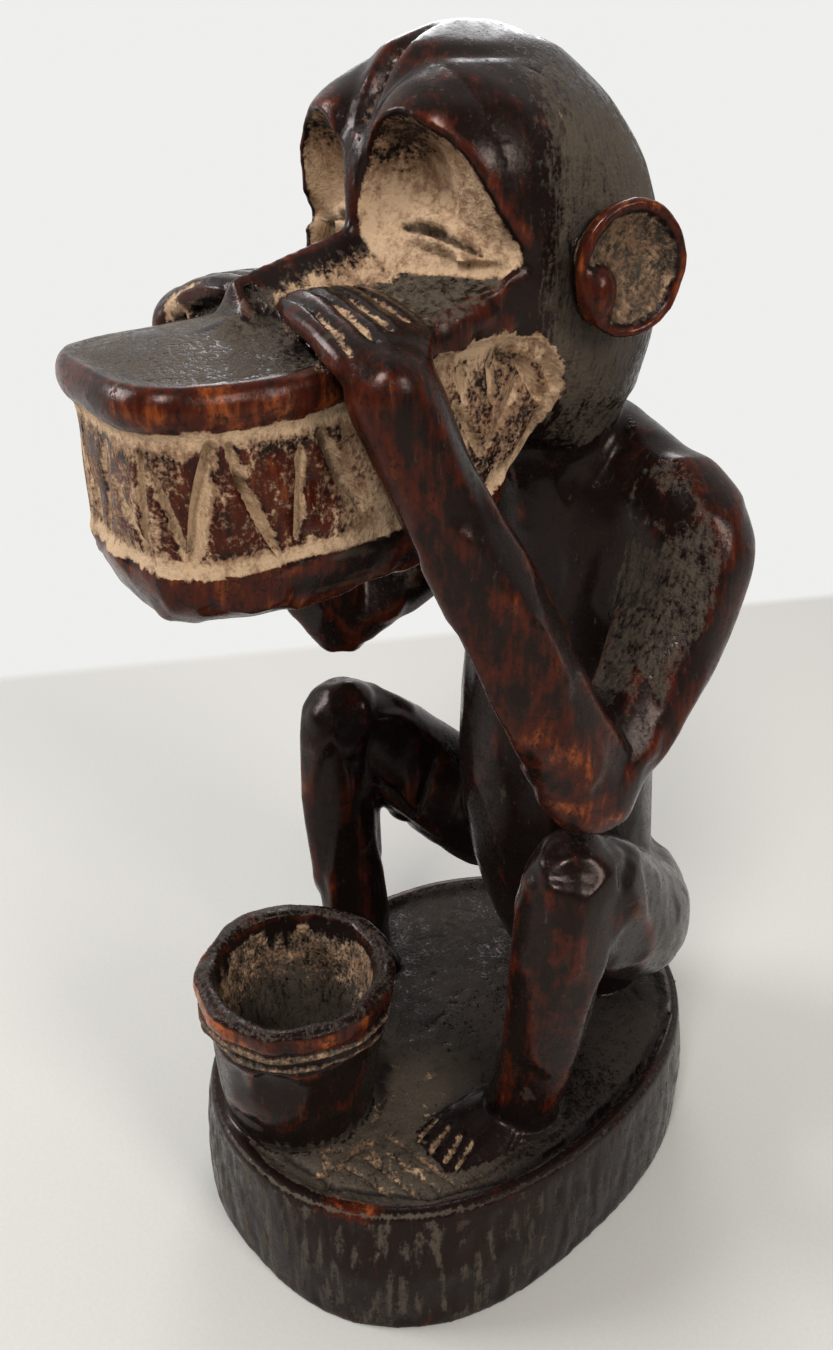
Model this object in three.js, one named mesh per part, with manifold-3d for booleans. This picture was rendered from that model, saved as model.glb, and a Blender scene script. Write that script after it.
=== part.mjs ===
// A squatting monkey carved from one block of hardwood, after the Baule figures of the Ivory Coast: it holds its long
// muzzle with both hands, its elbows come down to its knees, and an open offering cup stands between its feet.
// Millimetres, +Z up. The monkey faces -Y and its left side is +X. The origin is the middle of the base's underside.
import * as THREE from "three";
import { mergeVertices } from "three/addons/utils/BufferGeometryUtils.js";
import Module from "manifold-3d";

// Driving dimensions.
const BASE = {
  halfWidth: 55,
  halfLength: 72.5,
  squareness: 2.15,
  footSquareness: 2.5,
  height: 35,
  turn: THREE.MathUtils.degToRad(6.5),
  rim: 4.5,
  dish: 2.5,
};
const CUP = {
  x: -3.5,
  y: -49.5,
  bottom: 18.5,
  belly: 22.5,
  rim: 24.6,
  bore: 17.8,
  height: 42.7,
  wellDepth: 32,
  groove: 1.2,
};
const MUZZLE = {
  y: -45.5,
  halfWidth: 26,
  halfLength: 42.5,
  squareness: 4,
  crown: 232.5,
  lidTop: 228,
  lidUnder: 221,
  bandUnder: 197,
  chin: 184.5,
};
const LIFT = { start: -56, soft: 8, slope: 0.3, chinShare: 0.45 };
const SKEW = 0.06;
const JOWL = 0.09;
const TOOTH = { width: 3.4, depth: 1.8, lean: 2.8, pitch: 7.2, perSide: 9, frontPitch: 7.5, acrossFront: 6 };
const DIGIT = { width: 2.4, depth: 1.5, fingerPitch: 4.2, toePitch: 3.8 };
const EAR = { x: 38.2, y: 2, z: 242, width: 11.4, height: 12.3, bowl: 5.5 };

const FORWARD = [0, -1, 0];
const UP = [0, 0, 1];

const wasm = await Module();
wasm.setup();

// A closed three.js geometry as a solid that can be joined and cut.
function solidOf(geometry) {
  const bare = geometry.index ? geometry.toNonIndexed() : geometry.clone();
  bare.deleteAttribute("normal");
  bare.deleteAttribute("uv");
  const merged = mergeVertices(bare, 1e-4);
  const corners = merged.index.array;
  const kept = [];
  for (let i = 0; i < corners.length; i += 3) {
    const [a, b, c] = [corners[i], corners[i + 1], corners[i + 2]];
    if (a !== b && b !== c && c !== a) kept.push(a, b, c);
  }
  const mesh = new wasm.Mesh({
    numProp: 3,
    vertProperties: merged.attributes.position.array,
    triVerts: new Uint32Array(kept),
  });
  return new wasm.Manifold(mesh);
}

const join = (...solids) => solids.reduce((whole, next) => whole.add(next));
const cut = (whole, ...cutters) => cutters.reduce((left, cutter) => left.subtract(cutter), whole);
const sides = (make) => [make(1), make(-1)];

// A point of a unit circle pushed out towards a square: 2 keeps the circle, and more squares it.
function squared(x, y, squareness) {
  const length = Math.hypot(x, y);
  if (length < 1e-6) return [0, 0];
  const [c, s] = [x / length, y / length];
  const grow = 1 / (Math.abs(c) ** squareness + Math.abs(s) ** squareness) ** (1 / squareness);
  return [x * grow, y * grow];
}

// A solid swept along a smooth path. Each station is [x, y, z, half width, half depth, squareness]; the width lies
// across both the path and facing. Sections lie square to the path, or all square to one given axis. Round ends bulge
// past the first and last stations.
function sweep(stations, options = {}) {
  const { facing = FORWARD, axis, round = true, around = 12, rows = 2 * stations.length - 2, bend } = options;
  const path = new THREE.CatmullRomCurve3(stations.map(([x, y, z]) => new THREE.Vector3(x, y, z)));
  const sizes = new THREE.CatmullRomCurve3(stations.map(([, , , w, d, q = 2]) => new THREE.Vector3(w, d, q)));
  const front = new THREE.Vector3(...facing);
  const geometry = round
    ? new THREE.CapsuleGeometry(1, 1, 2, around, rows)
    : new THREE.CylinderGeometry(1, 1, 1, around, rows);
  const position = geometry.getAttribute("position");
  for (let i = 0; i < position.count; i++) {
    const along = THREE.MathUtils.clamp(position.getY(i), -0.5, 0.5);
    const past = position.getY(i) - along;
    const t = along + 0.5;
    const size = sizes.getPoint(t);
    const tangent = axis ? new THREE.Vector3(...axis) : path.getTangent(t);
    const across = new THREE.Vector3().crossVectors(front, tangent).normalize();
    const deep = new THREE.Vector3().crossVectors(across, tangent);
    const [u, v] = squared(position.getX(i), position.getZ(i), size.z);
    const point = path.getPoint(t);
    point.addScaledVector(across, u * size.x);
    point.addScaledVector(deep, v * size.y);
    point.addScaledVector(tangent, past * Math.min(size.x, size.y));
    if (bend) bend(point);
    position.setXYZ(i, point.x, point.y, point.z);
  }
  return solidOf(geometry);
}

// An ellipsoid, turned by angles in degrees.
function egg([x, y, z], [a, b, c], [rx, ry, rz] = [0, 0, 0], around = 16) {
  const geometry = new THREE.SphereGeometry(1, around, Math.round(around / 2));
  geometry.rotateX(Math.PI / 2);
  geometry.scale(a, b, c);
  const turn = new THREE.Euler(...[rx, ry, rz].map(THREE.MathUtils.degToRad));
  geometry.applyMatrix4(new THREE.Matrix4().makeRotationFromEuler(turn));
  geometry.translate(x, y, z);
  return solidOf(geometry);
}

// A leaf-shaped V groove between two points of a surface: an octahedron, widest in the middle.
function notch(from, to, width, depth) {
  const [a, b] = [new THREE.Vector3(...from), new THREE.Vector3(...to)];
  const geometry = new THREE.OctahedronGeometry(1);
  geometry.scale(width / 2, a.distanceTo(b) / 2, depth);
  const along = b.clone().sub(a).normalize();
  const turn = new THREE.Quaternion().setFromUnitVectors(new THREE.Vector3(0, 1, 0), along);
  geometry.applyQuaternion(turn);
  const middle = a.add(b).multiplyScalar(0.5);
  geometry.translate(middle.x, middle.y, middle.z);
  return solidOf(geometry);
}

function base() {
  const { halfWidth: w, halfLength: l, squareness: q, footSquareness, height, turn, rim, dish } = BASE;
  const facing = [Math.sin(turn), -Math.cos(turn), 0];
  const block = sweep(
    [
      [2.5, -2.3, 0, w - 0.5, l - 2, footSquareness],
      [1.2, -1.2, height / 2, w, l - 1, footSquareness],
      [0, 0, height, w, l, q],
    ],
    { facing, axis: UP, round: false, around: 32, rows: 2 },
  );
  const hollow = sweep(
    [
      [0, 0, height - dish, w - rim - 2, l - rim - 2, q],
      [0, 0, height + dish, w - rim + 2, l - rim + 2, q],
    ],
    { facing, axis: UP, round: false, around: 32, rows: 1 },
  );
  return block.subtract(hollow);
}

function cup() {
  const { x, y, bottom, belly, rim, bore, height, wellDepth, groove } = CUP;
  const floor = BASE.height - BASE.dish - 1;
  const top = BASE.height + height;
  const profile = [
    [0, floor],
    [bottom, floor],
    [belly - 1.5, floor + 18],
    [belly - 0.5, top - 15],
    [belly - groove, top - 14],
    [belly + 0.6, top - 12.5],
    [belly - groove + 0.6, top - 11],
    [belly + 1, top - 9.5],
    [rim, top - 7],
    [rim, top - 2],
    [rim - 2, top],
    [bore + 1, top - 0.5],
    [bore - 0.5, top - 3],
    [bore - 2, top - wellDepth / 2],
    [bore - 7, top - wellDepth + 3],
    [0, top - wellDepth],
  ];
  const geometry = new THREE.LatheGeometry(profile.map(([r, z]) => new THREE.Vector2(r, z)), 24);
  geometry.rotateX(Math.PI / 2);
  geometry.translate(x, y, 0);
  return solidOf(geometry);
}

function torso() {
  const trunk = sweep(
    [
      [0, 44, 46, 21, 17],
      [0, 40, 62, 24, 21],
      [0, 35, 88, 26.5, 24.5],
      [0, 31.5, 115, 27, 25],
      [0, 32, 145, 27, 24],
      [0, 33, 170, 29.5, 22, 2.6],
      [0, 34, 184, 31.5, 20, 3.4],
    ],
    { around: 16, rows: 7 },
  );
  const neck = sweep(
    [
      [0, 30, 178, 19, 17],
      [0, 18, 206, 18, 17],
      [0, 10, 224, 18, 17],
    ],
    { round: false, around: 14, rows: 3 },
  );
  const yoke = sweep(
    [
      [-36, 30, 186.5, 13, 11],
      [0, 31, 196, 14, 12],
      [36, 30, 186.5, 13, 11],
    ],
    { rows: 6 },
  );
  const seat = sweep(
    [
      [0, 48, 30, 19, 16],
      [0, 46, 60, 26, 18],
    ],
    { round: false, around: 14, rows: 1 },
  );
  return join(trunk, neck, yoke, seat);
}

function leg(side) {
  const out = side < 0 ? 2 : 0;
  const thigh = sweep(
    [
      [side * 19, 47, 69, 15.5, 16.5],
      [side * 28.5, 37, 73, 15.5, 17],
      [side * 37, 20, 88, 13, 16],
      [side * (42.5 + out), 3, 107, 11.5, 13.5],
      [side * (43.5 + out), -4, 115, 9, 9],
    ],
    { facing: UP, rows: 7 },
  );
  const shin = sweep(
    [
      [side * (43.5 + 2 * out), -5, 112, 11, 12],
      [side * (43 + 2 * out), -6, 92, 10.5, 11.5],
      [side * (39 + 3 * out), -5, 60, 9.5, 10.5],
      [side * (34 + 3 * out), -5, 34, 9, 10],
    ],
    { rows: 5 },
  );
  const foot = sweep(
    [
      [side * 35, -2, 33, 9, 5],
      [side * 33, -16, 33, 10, 5],
      [side * 32, -34, 32.5, 10.5, 3],
    ],
    { facing: UP },
  );
  return join(thigh, shin, foot);
}

function arm(side) {
  const lift = side < 0 ? 6 : 0;
  const back = side < 0 ? 2 : 0;
  const elbow = [side * 46, -4, 139 + lift];
  const upper = sweep(
    [
      [side * 30, 30, 190, 14, 11, 2.2],
      [side * 36.5, 30, 184, 14.5, 11, 2.4],
      [side * 38.5, 27, 174, 14, 10.5, 2.6],
      [side * 41.5, 16, 156 + lift / 2, 12, 10, 2.4],
      [...elbow, 9.5, 10],
    ],
    { rows: 8 },
  );
  const fore = sweep(
    [
      [...elbow, 9.5, 11],
      [side * 45, -16.5, 160 + lift / 2, 9.5, 10.5],
      [side * 41.5, -30.5, 188, 8.5, 9.5],
      [side * 37, -43, 212, 7, 8.5],
      [side * 34, -48.5, 228, 6.5, 8.5],
    ],
    { rows: 7 },
  );
  const hand = sweep(
    [
      [side * 34, -49.5 + back, 230.5, 9, 3.5, 3],
      [side * 27, -48 + back, 233.5, 9.5, 3.2, 3],
      [side * 15, -46 + back, 236, 8, 3, 3],
    ],
    { facing: UP },
  );
  return join(upper, fore, hand);
}

// The muzzle is level at the front, climbs to the face and widens into the cheeks behind the hands, and its blunt
// front is cut a little askew.
function muzzleBend(point) {
  const { bandUnder, lidUnder } = MUZZLE;
  const past = point.y - LIFT.start;
  const rise = LIFT.slope * 0.5 * (past + Math.hypot(past, LIFT.soft));
  const share = THREE.MathUtils.smoothstep(point.z, bandUnder, lidUnder);
  point.x *= 1 + JOWL * THREE.MathUtils.smoothstep(point.y, -52, -25);
  point.y -= SKEW * point.x * THREE.MathUtils.smoothstep(-point.y, 50, 85);
  point.z += rise * (LIFT.chinShare + (1 - LIFT.chinShare) * share);
  return point;
}

function muzzle() {
  const { y, halfWidth: w, halfLength: l, squareness: q, crown, lidTop, lidUnder, bandUnder, chin } = MUZZLE;
  const lid = sweep(
    [
      [0, y, lidUnder, w - 1.5, l - 1.5, q],
      [0, y, lidUnder + 2, w, l, q],
      [0, y, lidTop - 2, w, l, q],
      [0, y, lidTop, w - 2, l - 2, q],
      [0, y, lidTop + 2, w - 8, l - 8, q],
      [0, y, crown, w - 18, l - 18, 2.5],
    ],
    { axis: UP, round: false, around: 24, rows: 6, bend: muzzleBend },
  );
  const band = sweep(
    [
      [0, y, bandUnder - 4, w - 2, l - 4, q],
      [0, y, (bandUnder + lidUnder) / 2, w - 1.5, l - 3, q],
      [0, y, lidUnder + 3, w - 2, l - 2.5, q],
    ],
    { axis: UP, round: false, around: 24, rows: 2, bend: muzzleBend },
  );
  const lip = sweep(
    [
      [0, y, chin, w - 7, l - 9, 3],
      [0, y, chin + 2.5, w - 3, l - 5, q],
      [0, y, bandUnder - 2, w - 0.5, l - 2.5, q],
      [0, y, bandUnder, w - 1, l - 3, q],
    ],
    { axis: UP, round: false, around: 24, rows: 3, bend: muzzleBend },
  );
  return join(lid, band, lip);
}

function skull() {
  return sweep(
    [
      [0, 12, 204, 18, 20],
      [0, 8, 214, 26, 28],
      [0, 4, 228, 30, 35],
      [0, 2, 244, 30.5, 35.5],
      [0, 0, 258, 27.5, 33],
      [0, -2.5, 269, 22, 26.5],
      [0, -5, 277.5, 13.5, 18],
      [0, -6, 281.5, 4, 6],
    ],
    { axis: UP, round: false, around: 24, rows: 10 },
  );
}

function browLobe(side) {
  const slim = side < 0 ? 0.7 : 0;
  return sweep(
    [
      [side * 14, -5, 226, 12, 16],
      [side * 13.8, -7, 238, 15.5, 24.5],
      [side * 12.8, -8.5, 250, 16.5 - slim / 2, 27.5 - slim],
      [side * 12.3, -9, 259, 16.5 - slim / 2, 27.5 - slim],
      [side * 11, -8.5, 268, 14, 23.5],
      [side * 9, -8, 275, 8, 14],
    ],
    { axis: UP, round: false, around: 18, rows: 7 },
  );
}

function head() {
  const hood = join(skull(), ...sides(browLobe));
  const windows = sides((side) => egg([side * 14, -37, 250], [12, 17, 17.5], [0, 0, side * 10]));
  const corners = sides((side) => {
    const tucked = side < 0 ? 6 : 0;
    return sweep(
      [
        [side * 14, -40, 263, 7, 7],
        [side * (20.5 - tucked), -33 - tucked, 255.5, 9, 9],
        [side * (25.5 - tucked), -25 - tucked, 248, 6.5, 6.5],
        [side * (29.5 - tucked), -15 - tucked, 243, 1.5, 1.5],
      ],
      { around: 10, rows: 5 },
    );
  });
  const furrow = sweep(
    [
      [0, -4, 294, 9, 10],
      [0, -24, 284, 9, 9],
      [0, -41, 262, 9, 9],
    ],
    { round: false, around: 4, rows: 6 },
  );
  const carved = cut(hood, ...windows, ...corners, furrow);
  const face = sweep(
    [
      [0, -10, 228, 27, 24],
      [0, -12, 242, 28.5, 25],
      [0, -12, 250, 28.5, 25],
      [0, -4, 264, 24, 22],
    ],
    { axis: UP, round: false, around: 4, rows: 3 },
  );
  const jaw = egg([0, -4, 222], [26.5, 30, 21], [10, 0, 0], 14);
  const bridge = sweep(
    [
      [0, -26, 264, 2.2, 6],
      [0, -26, 240, 4, 7],
    ],
    { round: false, around: 10, rows: 2 },
  );
  const nose = sweep(
    [
      [0, -24, 236, 12, 14.5],
      [0, -42, 233, 10.5, 12.5],
      [0, -58, 230, 9, 10.8],
    ],
    { facing: UP, axis: FORWARD, round: false, around: 4, rows: 3 },
  );
  const eyelids = sides((side) => egg([side * 14.8, -24.5, 248.6], [7, 4, 3.4], [0, side * 22, side * 32], 10));
  return join(carved, face, jaw, bridge, nose, ...eyelids);
}

function ear(side) {
  const { x, y, z, width: w, height: h, bowl } = EAR;
  const shell = sweep(
    [
      [side * (x - 14), y + 4, z - 1, w - 4.5, h - 4],
      [side * (x - 5), y + 1.5, z - 0.5, w - 2, h - 1.8],
      [side * (x - 0.5), y + 0.3, z, w, h],
      [side * (x + 0.5), y, z, w - 0.4, h - 0.4],
    ],
    { facing: UP, round: false, around: 18, rows: 3 },
  );
  const hollow = egg([side * (x + 1), y, z], [bowl, w - 2, h - 2], [0, 0, side * -14], 14);
  const lobe = egg([side * (x - 3), y - 5.5, z - 4], [3.5, 4, 5.5], [0, 0, 0], 8);
  return join(shell.subtract(hollow), lobe);
}

// Teeth: a zigzag of grooves round the muzzle's sides and front, and on each cheek.
function teeth() {
  const { y, halfWidth: w, halfLength: l, lidUnder, bandUnder } = MUZZLE;
  const [low, high] = [bandUnder + 2.5, lidUnder - 2.5];
  const grooves = [];
  const carve = (fromX, fromY, toX, toY) => {
    const from = muzzleBend(new THREE.Vector3(fromX, fromY, low));
    const to = muzzleBend(new THREE.Vector3(toX, toY, high));
    grooves.push(notch(from.toArray(), to.toArray(), TOOTH.width, TOOTH.depth));
  };
  for (let i = 0; i < TOOTH.perSide; i++) {
    const lean = i % 2 ? TOOTH.lean : -TOOTH.lean;
    const along = y - l + 10 + i * TOOTH.pitch;
    for (const side of [1, -1]) carve(side * (w - 2), along - lean, side * (w - 2), along + lean);
  }
  for (let i = 0; i < TOOTH.acrossFront; i++) {
    const lean = i % 2 ? TOOTH.lean : -TOOTH.lean;
    const across = (i - (TOOTH.acrossFront - 1) / 2) * TOOTH.frontPitch;
    carve(across - lean, y - l + 4, across + lean, y - l + 3);
  }
  return grooves;
}

// Fingers lie across the muzzle, and toes point forward: grooves between them.
function fingers(side) {
  const back = side < 0 ? 2 : 0;
  return [0, 1, 2, 3].map((i) => {
    const y = -54.5 + back + i * DIGIT.fingerPitch;
    const rise = 0.4 * i;
    return notch([side * 34, y - 1.2, 235 + rise], [side * 16, y + 0.8, 238.4 + rise], DIGIT.width, DIGIT.depth);
  });
}

function toes(side) {
  return [0, 1, 2, 3].map((i) => {
    const x = side * (25.5 + i * DIGIT.toePitch);
    return notch([x, -25, 36.6], [x + side * 2, -39, 34.2], DIGIT.width, DIGIT.depth + 1);
  });
}

const body = join(
  base(),
  cup(),
  torso(),
  ...sides(leg),
  ...sides(arm),
  muzzle(),
  head(),
  ...sides(ear),
);
const eyeSlits = sides((side) => notch([side * 10.5, -30.5, 250], [side * 20, -24.5, 246.5], 2, 3));
const carving = cut(body, ...teeth(), ...sides(fingers).flat(), ...sides(toes).flat(), ...eyeSlits);

function meshOf(solid, name, material) {
  const { vertProperties, triVerts } = solid.getMesh();
  const geometry = new THREE.BufferGeometry();
  geometry.setAttribute("position", new THREE.BufferAttribute(vertProperties, 3));
  geometry.setIndex(new THREE.BufferAttribute(triVerts, 1));
  geometry.computeVertexNormals();
  const mesh = new THREE.Mesh(geometry, material);
  mesh.name = name;
  return mesh;
}

const group = new THREE.Group();
const wood = new THREE.MeshStandardMaterial({ color: 0x2b1610, roughness: 0.42, metalness: 0 });
group.add(meshOf(carving, "monkey_figure", wood));

export default group;
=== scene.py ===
import math

import bmesh
import bpy
import numpy as np
from bpy.props import FloatProperty, FloatVectorProperty, IntProperty, PointerProperty
from mathutils import Matrix, Vector
from mathutils.bvhtree import BVHTree


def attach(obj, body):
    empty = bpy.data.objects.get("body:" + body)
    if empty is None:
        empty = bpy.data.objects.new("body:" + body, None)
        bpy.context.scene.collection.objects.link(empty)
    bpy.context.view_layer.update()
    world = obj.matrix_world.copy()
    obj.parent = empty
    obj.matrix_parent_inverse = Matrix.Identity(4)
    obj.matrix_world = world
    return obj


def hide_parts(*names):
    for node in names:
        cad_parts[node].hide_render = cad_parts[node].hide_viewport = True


bl_info = {
    "name": "Carved monkey figure",
    "version": (1, 0, 0),
    "blender": (4, 5, 0),
    "location": "View3D > Sidebar > Figure",
    "description": "Carves, polishes and stages a squatting wooden monkey with an offering cup",
    "category": "Add Mesh",
}

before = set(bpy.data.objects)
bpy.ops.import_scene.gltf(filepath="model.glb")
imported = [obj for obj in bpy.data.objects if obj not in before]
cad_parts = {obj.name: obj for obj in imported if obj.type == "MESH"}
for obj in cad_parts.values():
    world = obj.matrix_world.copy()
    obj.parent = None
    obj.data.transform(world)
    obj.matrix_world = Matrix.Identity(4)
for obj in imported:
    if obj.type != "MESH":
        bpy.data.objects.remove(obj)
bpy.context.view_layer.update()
NODE = "monkey_figure"
MM = 0.001
RNG_SEED = 7

# Fixed places on the block, in millimetres. The monkey faces -Y and its left side is +X.
UPRIGHT = (0, 0, 1)
BASE_TURN = math.radians(6.5)
RIM_LEVEL = 35
CUP_AXIS = (-3.5, -49.5)
CUP_GROOVES = (71.2, 67.9, 64.5)
CUP_RIDGES = (69.5, 66.2)
EAR_CENTRE = (38.2, 2, 242)
# The muzzle: its middle, and the levels of its toothed band before it is bent.
MUZZLE_Y = -45.5
BAND_LOW, BAND_HIGH = 197, 221
# Its lift starts at a place along it, with a soft bend and a slope; the chin takes a share of it.
LIFT_START, LIFT_SOFT, LIFT_SLOPE, CHIN_SHARE = -56, 8, 0.3, 0.45
# Its front is skewed, and it widens towards the cheeks.
SKEW, JOWL = 0.06, 0.09

# The darkest tones: the wood's charred spots, and the painted shade laid in the bottom of hollows, creases
# and cuts.
CHAR_COLOUR = (0.007, 0.005, 0.0045, 1)
PAINTED_SHADE_COLOUR = (0.010, 0.007, 0.006, 1)

# The stage, in metres: the floor's half size, the way to the wall and how far off the floor turns into it,
# and the side of the room that is bright.
FLOOR_HALF = 12
WALL_WAY, WALL_FADE = (-0.9201, 0.3916), (0.305, 0.317)
BRIGHT_WAY = (-0.74, 0.57, 0.36)
# What the lamps point at, and each one's place, width, power in watts and colour.
LAMP_AIM = (0, 0, 0.13)
LAMPS = {
    "window_left": ((-0.9, -1.0, 0.9), 0.5, 17, (0.93, 0.96, 1)),
    "window_back": ((-1.05, 0.8, 0.95), 0.6, 7, (0.95, 0.97, 1)),
    "lamp_right": ((1.2, 0.1, 0.8), 0.4, 9, (1, 0.97, 0.93)),
    "lamp_above": ((0.6, -0.9, 1.3), 0.35, 15, (1, 0.99, 0.97)),
}

# The camera: its angles in degrees, what it looks at, how far off it stands and how far it is shifted.
VIEW_AZIMUTH, VIEW_ELEVATION, VIEW_ROLL = 52.106, 27.786, 0.925
VIEW_CENTRE, VIEW_DISTANCE, VIEW_SHIFT = (0, 0, 0.11), 0.292388, (-0.01201, 0.03056)
# The lens, from the focal length and the picture's height in pixels, on a film width in millimetres.
FOCAL_PIXELS, FRAME_PIXELS, FILM_WIDTH = 1147.977, 1350, 36
VIEW_GAMMA = 0.86


class FigureSizes(bpy.types.PropertyGroup):
    """Sizes of the block and of the carver's cuts."""

    base_width: FloatProperty(name="Base half width", description="Half the base across the body",
                              default=0.055, unit="LENGTH")
    base_length: FloatProperty(name="Base half length", description="Half the base from front to back",
                               default=0.0725, unit="LENGTH")
    base_height: FloatProperty(name="Base height", description="Height of the base's rim",
                               default=RIM_LEVEL * MM, unit="LENGTH")
    base_rim: FloatProperty(name="Base rim", description="Width of the rim round the dished top",
                            default=0.0036, unit="LENGTH")
    fine_grid: FloatProperty(name="Fine grid", description="Voxel size while the details are cut",
                             default=0.00072, unit="LENGTH")
    triangles: IntProperty(name="Triangles", description="Triangles left in the finished figure",
                           default=196000)
    smoothing: IntProperty(name="Smoothing", description="Rounds of smoothing where the trunk's forms meet",
                           default=30)
    facet_depth: FloatProperty(name="Facet depth", description="Depth of the adze facets",
                               default=0.0009, unit="LENGTH")
    facet_size: FloatProperty(name="Facet size", description="Spacing of the adze facets",
                              default=0.0105, unit="LENGTH")


class FigureFinish(bpy.types.PropertyGroup):
    """Colours of the wood, its wear, the white clay and the grey of the dust, which also paints a sheen."""

    dark: FloatVectorProperty(name="Dark wood", description="Polished, smoke-blackened wood",
                              subtype="COLOR", default=(0.0125, 0.0070, 0.0056))
    worn: FloatVectorProperty(name="Worn wood", description="Where hands have rubbed the dark away",
                              subtype="COLOR", default=(0.062, 0.0125, 0.0058))
    bare: FloatVectorProperty(name="Bare wood", description="The most worn edges",
                              subtype="COLOR", default=(0.34, 0.095, 0.022))
    clay: FloatVectorProperty(name="Clay", description="Pale clay rubbed into the face, teeth and cuts",
                              subtype="COLOR", default=(0.49, 0.355, 0.235))
    old_clay: FloatVectorProperty(name="Stained clay", description="Clay darkened by handling",
                                  subtype="COLOR", default=(0.25, 0.155, 0.095))
    # This grey also paints a sheen on the lid's top and on the temples.
    dust: FloatVectorProperty(name="Dust", description="Grey dust lying in the hollows",
                              subtype="COLOR", default=(0.092, 0.075, 0.056))


class FigureStage(bpy.types.PropertyGroup):
    """The floor, the room and the lights."""

    floor: FloatVectorProperty(name="Floor", description="Colour of the floor under the figure",
                               subtype="COLOR", default=(0.52, 0.505, 0.48))
    wall: FloatVectorProperty(name="Wall", description="Light of the wall behind the figure",
                              subtype="COLOR", default=(0.88, 0.88, 0.865))
    dim_wall: FloatVectorProperty(name="Dim side", description="Light of the room on the viewer's side",
                                  subtype="COLOR", default=(0.13, 0.13, 0.135))
    light: FloatProperty(name="Light", description="Strength of the windows and the lamps", default=1.0)


def smoothstep(low, high, x):
    """A soft step from 0 at low to 1 at high; it falls where low is the larger."""
    t = np.clip((x - low) / (high - low), 0, 1)
    return t * t * (3 - 2 * t)


def read_points(mesh):
    """The mesh's points in millimetres."""
    flat = np.empty(len(mesh.vertices) * 3)
    mesh.vertices.foreach_get("co", flat)
    return flat.reshape(-1, 3) / MM


def write_points(mesh, points):
    mesh.vertices.foreach_set("co", (points * MM).ravel())
    mesh.update()


def read_normals(mesh):
    flat = np.empty(len(mesh.vertices) * 3)
    mesh.vertices.foreach_get("normal", flat)
    return flat.reshape(-1, 3)


def links(mesh):
    """Neighbours of every vertex: along each edge, and across each four-sided face."""
    edges = np.empty(len(mesh.edges) * 2, np.int64)
    mesh.edges.foreach_get("vertices", edges)
    edges = edges.reshape(-1, 2)
    quads = [tuple(p.vertices) for p in mesh.polygons if len(p.vertices) == 4]
    if quads:
        corners = np.array(quads)
        edges = np.vstack([edges, corners[:, [0, 2]], corners[:, [1, 3]]])
    return np.vstack([edges, edges[:, ::-1]])


def lattice_noise(points, size, seed):
    """Smooth noise from -1 to 1 with features about size millimetres across."""
    table = np.random.RandomState(seed).rand(4096) * 2 - 1
    scaled = points / size
    cell = np.floor(scaled).astype(np.int64)
    t = scaled - cell
    t = t * t * t * (t * (t * 6 - 15) + 10)
    value = np.zeros(len(points))
    for corner in range(8):
        step = np.array([corner & 1, corner >> 1 & 1, corner >> 2 & 1])
        at = cell + step
        pick = (at[:, 0] * 73856093 ^ at[:, 1] * 19349663 ^ at[:, 2] * 83492791) & 4095
        weight = np.prod(np.where(step, t, 1 - t), axis=1)
        value += weight * table[pick]
    return value


def evaluated_copy(piece, name):
    graph = bpy.context.evaluated_depsgraph_get()
    mesh = bpy.data.meshes.new_from_object(piece.evaluated_get(graph))
    mesh.name = name
    return mesh


def with_modifier(mesh, kind, **settings):
    """The mesh after one modifier, as a new mesh."""
    helper = bpy.data.objects.new("helper", mesh)
    bpy.context.scene.collection.objects.link(helper)
    modifier = helper.modifiers.new("step", kind)
    for key, value in settings.items():
        setattr(modifier, key, value)
    made = evaluated_copy(helper, mesh.name)
    bpy.data.objects.remove(helper)
    bpy.data.meshes.remove(mesh)
    return made


def ring_stack(bm, rings, segments):
    """A closed solid from rings stacked on each other: each ring maps a turn from 0 to 1 to a point."""
    turn = bm.verts.layers.float.get("turn") or bm.verts.layers.float.new("turn")
    verts = bmesh.ops.create_circle(bm, cap_ends=True, segments=segments, radius=1)["verts"]
    for vert in verts:
        vert[turn] = math.atan2(vert.co.y, vert.co.x) / (2 * math.pi) % 1
    face = verts[0].link_faces[0]
    for index, ring in enumerate(rings):
        if index:
            grown = bmesh.ops.extrude_face_region(bm, geom=[face])["geom"]
            if index > 1:
                bmesh.ops.delete(bm, geom=[face], context="FACES_ONLY")
            face = next(part for part in grown if isinstance(part, bmesh.types.BMFace))
        for vert in face.verts:
            vert.co = ring(vert[turn])


def squared(turn, squareness):
    """A point of a unit circle pushed out towards a square."""
    c, s = math.cos(turn * 2 * math.pi), math.sin(turn * 2 * math.pi)
    grow = (abs(c) ** squareness + abs(s) ** squareness) ** (-1 / squareness)
    return c * grow, s * grow


def oval(z, half_x, half_y, squareness, centre=(0, 0), turned=0, bend=None):
    """A level ring of a squared ellipse, in millimetres, as a function of the turn."""

    def point(turn):
        u, v = squared(turn, squareness)
        x, y = u * half_x, v * half_y
        spun = Vector((x * math.cos(turned) - y * math.sin(turned) + centre[0],
                       x * math.sin(turned) + y * math.cos(turned) + centre[1], z))
        return (bend(spun) if bend else spun) * MM

    return point


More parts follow.
